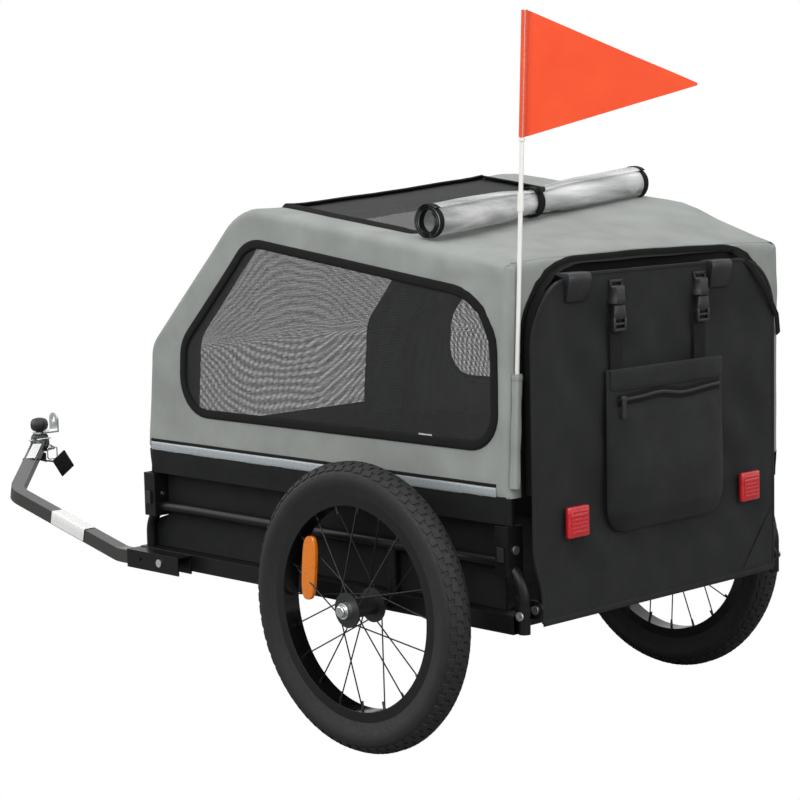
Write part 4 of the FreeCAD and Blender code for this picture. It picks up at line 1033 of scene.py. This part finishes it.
def door_tabs():
    bm = bmesh.new()
    low, high = limits("door_tabs")
    for x in (high.x - TAB_W / 2, low.x + TAB_W / 2):
        outlines = []
        for dy, z, half in TAB_PROFILE:
            back = TAB_FOOT if z < 648 else TAB_BACK
            face = TAB_FOOT + dy
            wide = half * TAB_W / 2
            right = [(wide, back), (wide, face - 1.2), (wide - 2, face)]
            around = [(-wide, back)] + right + [(2 - wide, face), (-wide, face - 1.2)]
            outlines.append([at(x + a, y, z) for a, y in around])
        loft(bm, outlines)
    piece("door_top_tabs", bm, BLACK_PLASTIC, "rear_door", "door_tabs", crease=50)


def door_reflectors():
    """Two square lenses with a raised field of ribs."""
    low, high = limits("red_reflectors")
    bm = bmesh.new()
    side = high.z - low.z
    face = (high.y - low.y) / 2
    for x in (low.x + side / 2, high.x - side / 2):
        middle = at(x, (low.y + high.y) / 2, (low.z + high.z) / 2)
        brick(bm, (side, high.y - low.y, side), Matrix.Translation(middle), 3.4, 4)
        brick(bm, (side - 9, 1.6, side - 9), Matrix.Translation(middle + Vector((0, face, 0)) * MM), 0.7, 2)
        for step in range(6):
            rib = Vector((0, face + 0.7, (step - 2.5) * 5.4)) * MM
            brick(bm, (side - 12, 1.2, 3.6), Matrix.Translation(middle + rib), 0.5)
    piece("door_reflectors", bm, LENS_RED, "rear_door", "red_reflectors", crease=35)


door_sheet()
door_tabs()
door_reflectors()

# Rear bag: a flat zipped pouch that hangs on the door from two straps with side-release buckles.
# Black polyester, nylon zip, webbing and moulded plastic; a bulged front skin closed on a flat back.
BAG_COLUMNS = 56
BAG_ROWS = 50
ZIP_Z = 481.0
ZIP_HALF = 108.0
ZIP_DEPTH = 11.0
BUCKLE_X = (100.0, -77.0)
BAG_BEND = 34.0
BAG_LOW, BAG_HIGH = limits("bag")
WEBBING = webbing("black_webbing", "#141415", "#202022", 2.0)
UPPER_PROFILE = ((606.6, 11.6, 0.92), (608, 12.8, 1.0), (614, 12.2, 1.0), (620, 10.6, 0.96),
                 (626, 11.6, 0.94), (630, 12.8, 0.8), (631.5, 12.6, 0.6))
UPPER_BARS = (((-11, 635), (4, 5, 10)), ((11, 635), (4, 5, 10)), ((0, 637.4), (25.8, 5, 4.6)))
LOWER_PROFILE = ((587, 11.8, 0.6), (589, 12.8, 0.8), (595, 12.4, 0.96), (601, 11.2, 0.96), (605.4, 11.0, 0.9))
LOWER_BARS = (((-11, 580), (4, 6, 19)), ((11, 580), (4, 6, 19)), ((0, 572.6), (25.8, 5, 4.6)),
              ((0, 580.5), (20, 4, 4)))


def bag_width(z):
    """Half the bag's width at a height, with rounded lower corners."""
    rise = BAG_LOW.z + BAG_BEND - z
    round_off = BAG_BEND - math.sqrt(max(0.0, BAG_BEND ** 2 - rise ** 2))
    return BAG_HIGH.x if rise <= 0 else BAG_HIGH.x - round_off


def bag_front(x, z):
    """Depth of the bag's front: thin at its top band, full and creased low down."""
    across = min(1.0, abs(x) / bag_width(z))
    height = (z - BAG_LOW.z) / (BAG_HIGH.z - BAG_LOW.z)
    round_side = (1 - across ** 5) ** 0.6
    round_end = min(1.0, height / 0.12) ** 0.5 * min(1.0, (1 - height) / 0.05) ** 0.5
    fullness = 0.42 + 0.45 * math.exp(-((height - 0.33) / 0.3) ** 2) * (0.85 + 0.3 * x / BAG_HIGH.x)
    crease = 1.0 * math.sin((x * 0.9 + z * 1.1) / 22 + ripple(x, 0, z, 70, 1.5)) + ripple(x, 9, z, 46, 1.3)
    crease *= ease(height, 0.9, 0.75) * ease(across, 1.0, 0.8)
    depth = (BAG_HIGH.y - BAG_LOW.y - 1.5) * fullness * 1.12 + crease
    band = ease(abs(z - ZIP_Z), 26, 9)
    depth = depth * (1 - band) + ZIP_DEPTH * band
    return BAG_LOW.y + max(1.0, depth * round_side * round_end)


def zip_line(x):
    """Height of the wavy zip."""
    return ZIP_Z + 2.2 * math.sin(x / 23) + ripple(x, 3, 0, 40, 1.6)


def outer_ring(made):
    """The outer points of a grid, in order round it."""
    return [r[0] for r in made] + made[-1][1:] + [r[-1] for r in made[-2::-1]] + made[0][-2:0:-1]


def on_bag(x, z, proud):
    return at(x, bag_front(x, z) + proud, z)


def bag():
    """The pouch with its zip and the flap along its top."""
    bm = bmesh.new()
    front, back = [], []
    for z in steps(BAG_LOW.z, BAG_HIGH.z, BAG_ROWS):
        xs = [bag_width(z) * math.sin(math.pi / 2 * across) for across in steps(-1, 1, BAG_COLUMNS)]
        front.append([on_bag(x, z, 0.0) for x in xs])
        back.append([at(x, BAG_LOW.y, z) for x in xs])
    first, second = outer_ring(grid(bm, front)), outer_ring(grid(bm, back))
    for i in range(len(first)):
        bm.faces.new((first[i - 1], first[i], second[i], second[i - 1]))
    xs = steps(-ZIP_HALF, ZIP_HALF, 40)
    tape(bm, [on_bag(x, zip_line(x), 0.5) for x in xs], REARWARDS, 15, 1.2, 1)
    tape(bm, [on_bag(x, zip_line(x), 1.3) for x in xs], REARWARDS, 4.5, 1.8, 2)
    tape(bm, [on_bag(x, BAG_HIGH.z - 14, 0.8) for x in steps(-119, 119, 30)], REARWARDS, 27, 2.2, 0)
    piece("rear_bag", bm, [BLACK_CLOTH, BINDING, BLACK_PLASTIC], "hung_bag", "bag", crease=60)


def straps():
    low, high = limits("bag_straps")
    bm = bmesh.new()
    for x in BUCKLE_X:
        line = [at(x, (low.y + high.y) / 2 + 0.3, z) for z in steps(low.z, high.z, 12)]
        tape(bm, line, REARWARDS, 25, 1.3, 0)
    piece("bag_webbing", bm, WEBBING, "hung_bag", "bag_straps", crease=50)


def buckle_half(name, node, body, profile, bars):
    """Moulded half: a waisted body lofted up its length, and bars round the strap's slots."""
    low, high = limits(node)
    bm = bmesh.new()
    middle = (low.y + high.y) / 2
    for x in BUCKLE_X:
        outlines = []
        for z, w, thick in profile:
            t = thick * (high.y - low.y) / 2
            corner = ((-w, -t * 0.5), (-w * 0.86, -t), (w * 0.86, -t), (w, -t * 0.5),
                      (w, t * 0.5), (w * 0.7, t), (-w * 0.7, t), (-w, t * 0.5))
            outlines.append([at(x + a, middle + b, z) for a, b in corner])
        loft(bm, outlines)
        for (dx, z), size in bars:
            brick(bm, size, Matrix.Translation(at(x + dx, middle, z)), 1.2, 2)
    piece(name, bm, BLACK_PLASTIC, body, node, crease=38)


def zip_slider():
    """The slider's body and its waisted pull."""
    low, high = limits("zip_pull")
    x = (low.x + high.x) / 2 + 9
    face = BAG_LOW.y + ZIP_DEPTH + 2.4
    bm = bmesh.new()
    brick(bm, (9, 4.4, 8), Matrix.Translation(at(x, face + 1.2, high.z - 4)), 1.4, 3)
    profile = ((high.z - 5, 2.2, 1.0), (high.z - 9, 3.4, 1.2), ((low.z + high.z) / 2, 2.6, 1.0),
               (low.z + 4, 3.6, 1.2), (low.z, 2.6, 0.8))
    corner = ((-1, -1), (1, -1), (1.2, 0), (1, 1), (-1, 1), (-1.2, 0))
    loft(bm, [[at(x + a * half, face + 2.4 + b * thick, z) for a, b in corner] for z, half, thick in profile])
    piece("zip_slider", bm, BLACK_PLASTIC, "zipper", "zip_pull", crease=40)


bag()
straps()
buckle_half("buckle_tops", "upper_buckles", "rear_door", UPPER_PROFILE, UPPER_BARS)
buckle_half("buckle_bottoms", "lower_buckles", "hung_bag", LOWER_PROFILE, LOWER_BARS)
zip_slider()

# Flag: an orange three-cornered flag on a white rod that stands in a grey pocket at the rear left.
# Nylon cloth sleeved on a glass-fibre rod with a plated ferrule; the cloth is one sheet with a slow wave.
FLAG_LOW = 829.0
FLAG_TOP = 989.0
FLAG_TURN = math.radians(136)
POLE_FOOT = (274.0, 234.5, 382.0)
POLE_LEAN = math.radians(3.0)
SLEEVE_R = 4.3
FLAG_LENGTH = 221.0
FLAG_TIP = 891.0
TIP_HALF = 1.5
FLAG_ROWS = 16
FLAG_STEPS = 48
SLEEVE_STEPS = 12


def nylon():
    material, tree, shader = surface("orange_nylon")
    height = maths(tree, "MULTIPLY", *weave(tree, 0.9))
    feed(tree, shader, Base_Color=between(tree, grain(tree, 45.0), "#e8431a", "#f4551f"), Roughness=0.55,
         Specular_IOR_Level=0.35, Sheen_Weight=0.15, Normal=bump(tree, height, 0.08, 0.4))
    return material


def rod_white():
    material, tree, shader = surface("white_fibreglass")
    streak = streaks(tree, (900.0, 900.0, 40.0))
    feed(tree, shader, Base_Color=between(tree, streak, "#dcdcd8", "#f3f3f0"), Roughness=0.32,
         Normal=bump(tree, streak, 0.05, 0.4))
    return material


NYLON = nylon()
dress(rod_white(), "flag_pole")


def pole_at(z):
    """Point of the leaning pole's axis at a height."""
    x, y, foot = POLE_FOOT
    return Vector((x - math.tan(POLE_LEAN) * (z - foot), y, z))


def flag():
    """The sleeve round the pole and the waving cloth, in one sheet."""
    out = Vector((math.cos(FLAG_TURN), math.sin(FLAG_TURN), 0))
    side = Vector((-out.y, out.x, 0))
    rows = []
    for k in range(SLEEVE_STEPS + 1):
        angle = math.pi * (1.5 - 1.9 * k / SLEEVE_STEPS)
        offset = out * math.cos(angle) * SLEEVE_R + side * math.sin(angle) * SLEEVE_R
        rows.append([(offset, z) for z in steps(FLAG_LOW, FLAG_TOP, FLAG_ROWS)])
    for u in steps(0, 1, FLAG_STEPS)[1:]:
        sway = side * (SLEEVE_R * (1 - u) + 7.0 * u * math.sin(u * 5.2) + 2.0 * u * math.sin(u * 13))
        offset = out * (SLEEVE_R + (FLAG_LENGTH - SLEEVE_R) * u) + sway
        low = FLAG_LOW + (FLAG_TIP - TIP_HALF - FLAG_LOW) * u
        top = FLAG_TOP + (FLAG_TIP + TIP_HALF - FLAG_TOP) * u
        rows.append([(offset, z) for z in steps(low, top, FLAG_ROWS)])
    bm = bmesh.new()
    grid(bm, [[at(*(pole_at(z) + offset)[:2], z) for offset, z in row] for row in rows])
    cloth_sheet = piece("flag_cloth", bm, NYLON, "flag_cloth", "pennant")


def pocket():
    """The grey sleeve that the pole stands in, turned in at its mouth and bound."""
    low, high = limits("flag_pocket")
    middle = (low + high) / 2
    half = (high.y - low.y) / 2
    corner = rounded([(-half, -half), (half, -half), (half, half), (-half, half)], [3.5] * 4, 4, 3)
    profile = [(z, 0.93 + 0.06 * math.sin(k * 1.3)) for k, z in enumerate(steps(low.z, high.z, 12))]
    profile += [(high.z, 0.72), (high.z - 12, 0.7)]
    outlines = []
    for z, size in profile:
        outlines.append([at(pole_at(z).x + p.x * size, middle.y + p.y * size, z) for p in corner])
    bm = bmesh.new()
    loft(bm, outlines, False)
    mouth = pole_at(high.z - 7).x
    band = [at(mouth + p.x, middle.y + p.y, high.z - 5) for p in corner]
    tape(bm, band, away_from(at(mouth, middle.y, high.z - 5), band), 7, 1.0, 0, True)
    piece("flag_sleeve", bm, [GREY_CLOTH, BINDING], "left_arch", "flag_pocket", crease=60)


flag()
pocket()

# Tow arm fittings: a safety strap under the coupler, two bare white labels and a thin wire ring.
# Webbing folded and sewn, film and spring wire; flat bands along the arm and one turned ring.
ARM_ELBOW = (294.9, -861.0, 263.0)
ARM_START = (294.9, -578.0, 198.0)
ARM_HEAD = (100.0, -1066.0, 308.0)
ARM_HALF = 10.5
COUPLER_AT = (100.0, -1066.0)
STRAP_LINE = ((100, -1064, 291), (103, -1060, 284), (108, -1053, 280),
              (110, -1046, 279), (108, -1038, 279), (96, -1031, 277))
STRAP_END = (79.0, -1028.0, 272.0)
STRAP_END_TURN = 147.0
COUPLER = ((0.5, 292.6), (8, 292.6), (15.5, 293.4), (16.6, 298), (16.8, 305), (16.2, 313), (14.6, 320),
           (12, 322.8), (6.5, 323.2), (6.5, 328.4), (11, 329), (14.5, 333), (15.6, 339), (14.6, 346),
           (11, 350), (5, 351.5), (0.5, 351.8))
LABELS = ((ARM_START, ARM_ELBOW, 0.3, 0.6), (ARM_ELBOW, ARM_HEAD, 0.55, 0.84))
LABEL_SECTION = ((1, -0.8), (1, 0), (1, 0.84), (0.95, 0.95), (0.84, 1), (0, 1), (-0.9, 1))
RING_R = 19.0
WIRE_R = 1.1


def label_film():
    material, tree, shader = surface("white_label")
    feed(tree, shader, Base_Color=between(tree, grain(tree, 8.0), "#e9e9e6", "#f6f6f4"), Roughness=0.4,
         Normal=bump(tree, grain(tree, 2.0), 0.03, 0.3))
    return material


def tow_strap():
    """The folded strap and its sewn end tab."""
    bm = bmesh.new()
    line = [at(*point) for point in STRAP_LINE]
    normals = [(at(100, -1036, 310) - point).normalized() for point in line]
    tape(bm, line, normals, 20, 2.4, 0)
    turn = Matrix.Translation(at(*STRAP_END)) @ Matrix.Rotation(math.radians(-STRAP_END_TURN), 4, "Y")
    brick(bm, (31, 3.2, 36), turn, 1.2, 2)
    for step in range(5):
        brick(bm, (27, 4.0, 0.9), turn @ Matrix.Translation((0, 0, (step - 2) * 6.5 * MM)), 0.3)
    piece("tow_strap", bm, WEBBING, "tow", "safety_strap", crease=50)


def arm_labels():
    """Bare films wrapped over the top and the outer side of the arm."""
    bm = bmesh.new()
    reach = ARM_HALF + 0.9
    for start, end, t0, t1 in LABELS:
        along = (Vector(end) - Vector(start)).normalized()
        side = Vector((along.y, -along.x, 0)).normalized()
        side = side if side.x > 0 else -side
        over = side.cross(along).normalized()
        over = over if over.z > 0 else -over
        film = []
        for t in steps(t0, t1, 8):
            middle = Vector(start).lerp(Vector(end), t)
            film.append([at(*(middle + (side * a + over * b) * reach)) for a, b in LABEL_SECTION])
        grid(bm, film)
    piece("arm_labels", bm, label_film(), "tow", crease=50)


def coupler():
    """The turned coupler with its grip flutes, and the wire ring round it."""
    x, y = COUPLER_AT
    bm = bmesh.new()
    rings = []
    for angle in circle(48):
        grip = 1 - 0.04 * (1 + math.cos(6 * angle))
        across, ahead = grip * math.cos(angle), grip * math.sin(angle)
        rings.append([at(x + r * across, y + r * ahead, z) for r, z in COUPLER])
    grid(bm, rings, True)
    piece("coupler_body", bm, BLACK_PLASTIC, "tow", "hitch_head", crease=45)
    bm = bmesh.new()
    centre = at(x, y, limits("hitch_head")[1].z - 37)
    hoop = []
    for angle in circle(40):
        out = Vector((math.cos(angle), math.sin(angle), 0))
        wire = centre + (out * RING_R + Vector((0, 0, 3 * math.sin(angle)))) * MM
        round_wire = [out * math.cos(b) + Vector((0, 0, math.sin(b))) for b in steps(0, 2 * math.pi, 10)]
        hoop.append([wire + way * WIRE_R * MM for way in round_wire])
    grid(bm, hoop, True)
    bmesh.ops.remove_doubles(bm, verts=bm.verts, dist=1e-6)
    piece("coupler_ring", bm, ZINC, "tow")


tow_strap()
arm_labels()
coupler()

# Studio: a white floor and backdrop, soft boxes and the photograph's camera.
# The floor is a plain sheet that shows white; light comes from large soft panels.
CAMERA_AT = (2368.8, 2184.7, 845.7)
CAMERA_WAY = Vector((-0.6912, -0.7125, -0.1209)).normalized()
CAMERA_ROLL = math.radians(-1.25)
CAMERA_LENS = 101.0


def white_world():
    world = bpy.data.worlds.new("studio")
    bpy.context.scene.world = world
    world.use_nodes = True
    tree = world.node_tree
    rays = add(tree, "ShaderNodeLightPath").outputs
    seen = maths(tree, "MAXIMUM", rays["Is Camera Ray"], rays["Is Transmission Ray"])
    most = maths(tree, "MAXIMUM", seen, maths(tree, "MULTIPLY", rays["Is Glossy Ray"], 0.85))
    strength = add(tree, "ShaderNodeMapRange", {"Value": most, "To Min": 0.42, "To Max": 1.0})
    back = tree.nodes["Background"]
    feed(tree, back, Color=(1, 1, 1, 1), Strength=strength.outputs["Result"])


def floor():
    material, tree, shader = surface("studio_floor")
    rays = add(tree, "ShaderNodeLightPath").outputs
    glow = add(tree, "ShaderNodeEmission", {"Color": (1, 1, 1, 1), "Strength": 1.0}).outputs["Emission"]
    feed(tree, shader, Base_Color=linear("#8c8c8c"), Roughness=0.9)
    mix = add(tree, "ShaderNodeMixShader", {0: rays["Is Camera Ray"], 1: shader.outputs["BSDF"], 2: glow})
    tree.links.new(mix.outputs["Shader"], tree.nodes["Material Output"].inputs["Surface"])
    bm = bmesh.new()
    bmesh.ops.create_grid(bm, x_segments=2, y_segments=2, size=8.0)
    mesh = bpy.data.meshes.new("floor")
    bm.to_mesh(mesh)
    bm.free()
    mesh.materials.append(material)
    placed("floor", mesh)


def soft_box(name, place, target, size, power):
    light = bpy.data.lights.new(name, "AREA")
    light.shape = "RECTANGLE"
    light.size, light.size_y = size
    light.energy = power
    made = placed(name, light)
    made.location = at(*place)
    made.rotation_euler = (at(*target) - at(*place)).to_track_quat("-Z", "Y").to_euler()


def camera():
    lens = bpy.data.cameras.new("photo_camera")
    lens.lens = CAMERA_LENS
    lens.sensor_width = 36.0
    made = placed("photo_camera", lens)
    right = CAMERA_WAY.cross(Vector((0, 0, 1))).normalized()
    up = right.cross(CAMERA_WAY)
    turned = right * math.cos(CAMERA_ROLL) + up * math.sin(CAMERA_ROLL)
    risen = up * math.cos(CAMERA_ROLL) - right * math.sin(CAMERA_ROLL)
    made.matrix_world = Matrix((turned, risen, -CAMERA_WAY)).transposed().to_4x4()
    made.location = at(*CAMERA_AT)
    bpy.context.scene.camera = made


white_world()
floor()
soft_box("key", (2400, 900, 2400), (0, 0, 400), (2.2, 2.2), 54)
soft_box("rear_fill", (200, 3000, 1500), (0, 100, 400), (2.6, 2.0), 34)
soft_box("front_fill", (1600, -2600, 1600), (0, -200, 400), (2.2, 2.0), 24)
soft_box("top", (-300, -100, 3200), (0, 0, 500), (2.6, 2.6), 30)
camera()
bpy.context.scene.view_settings.view_transform = "Standard"
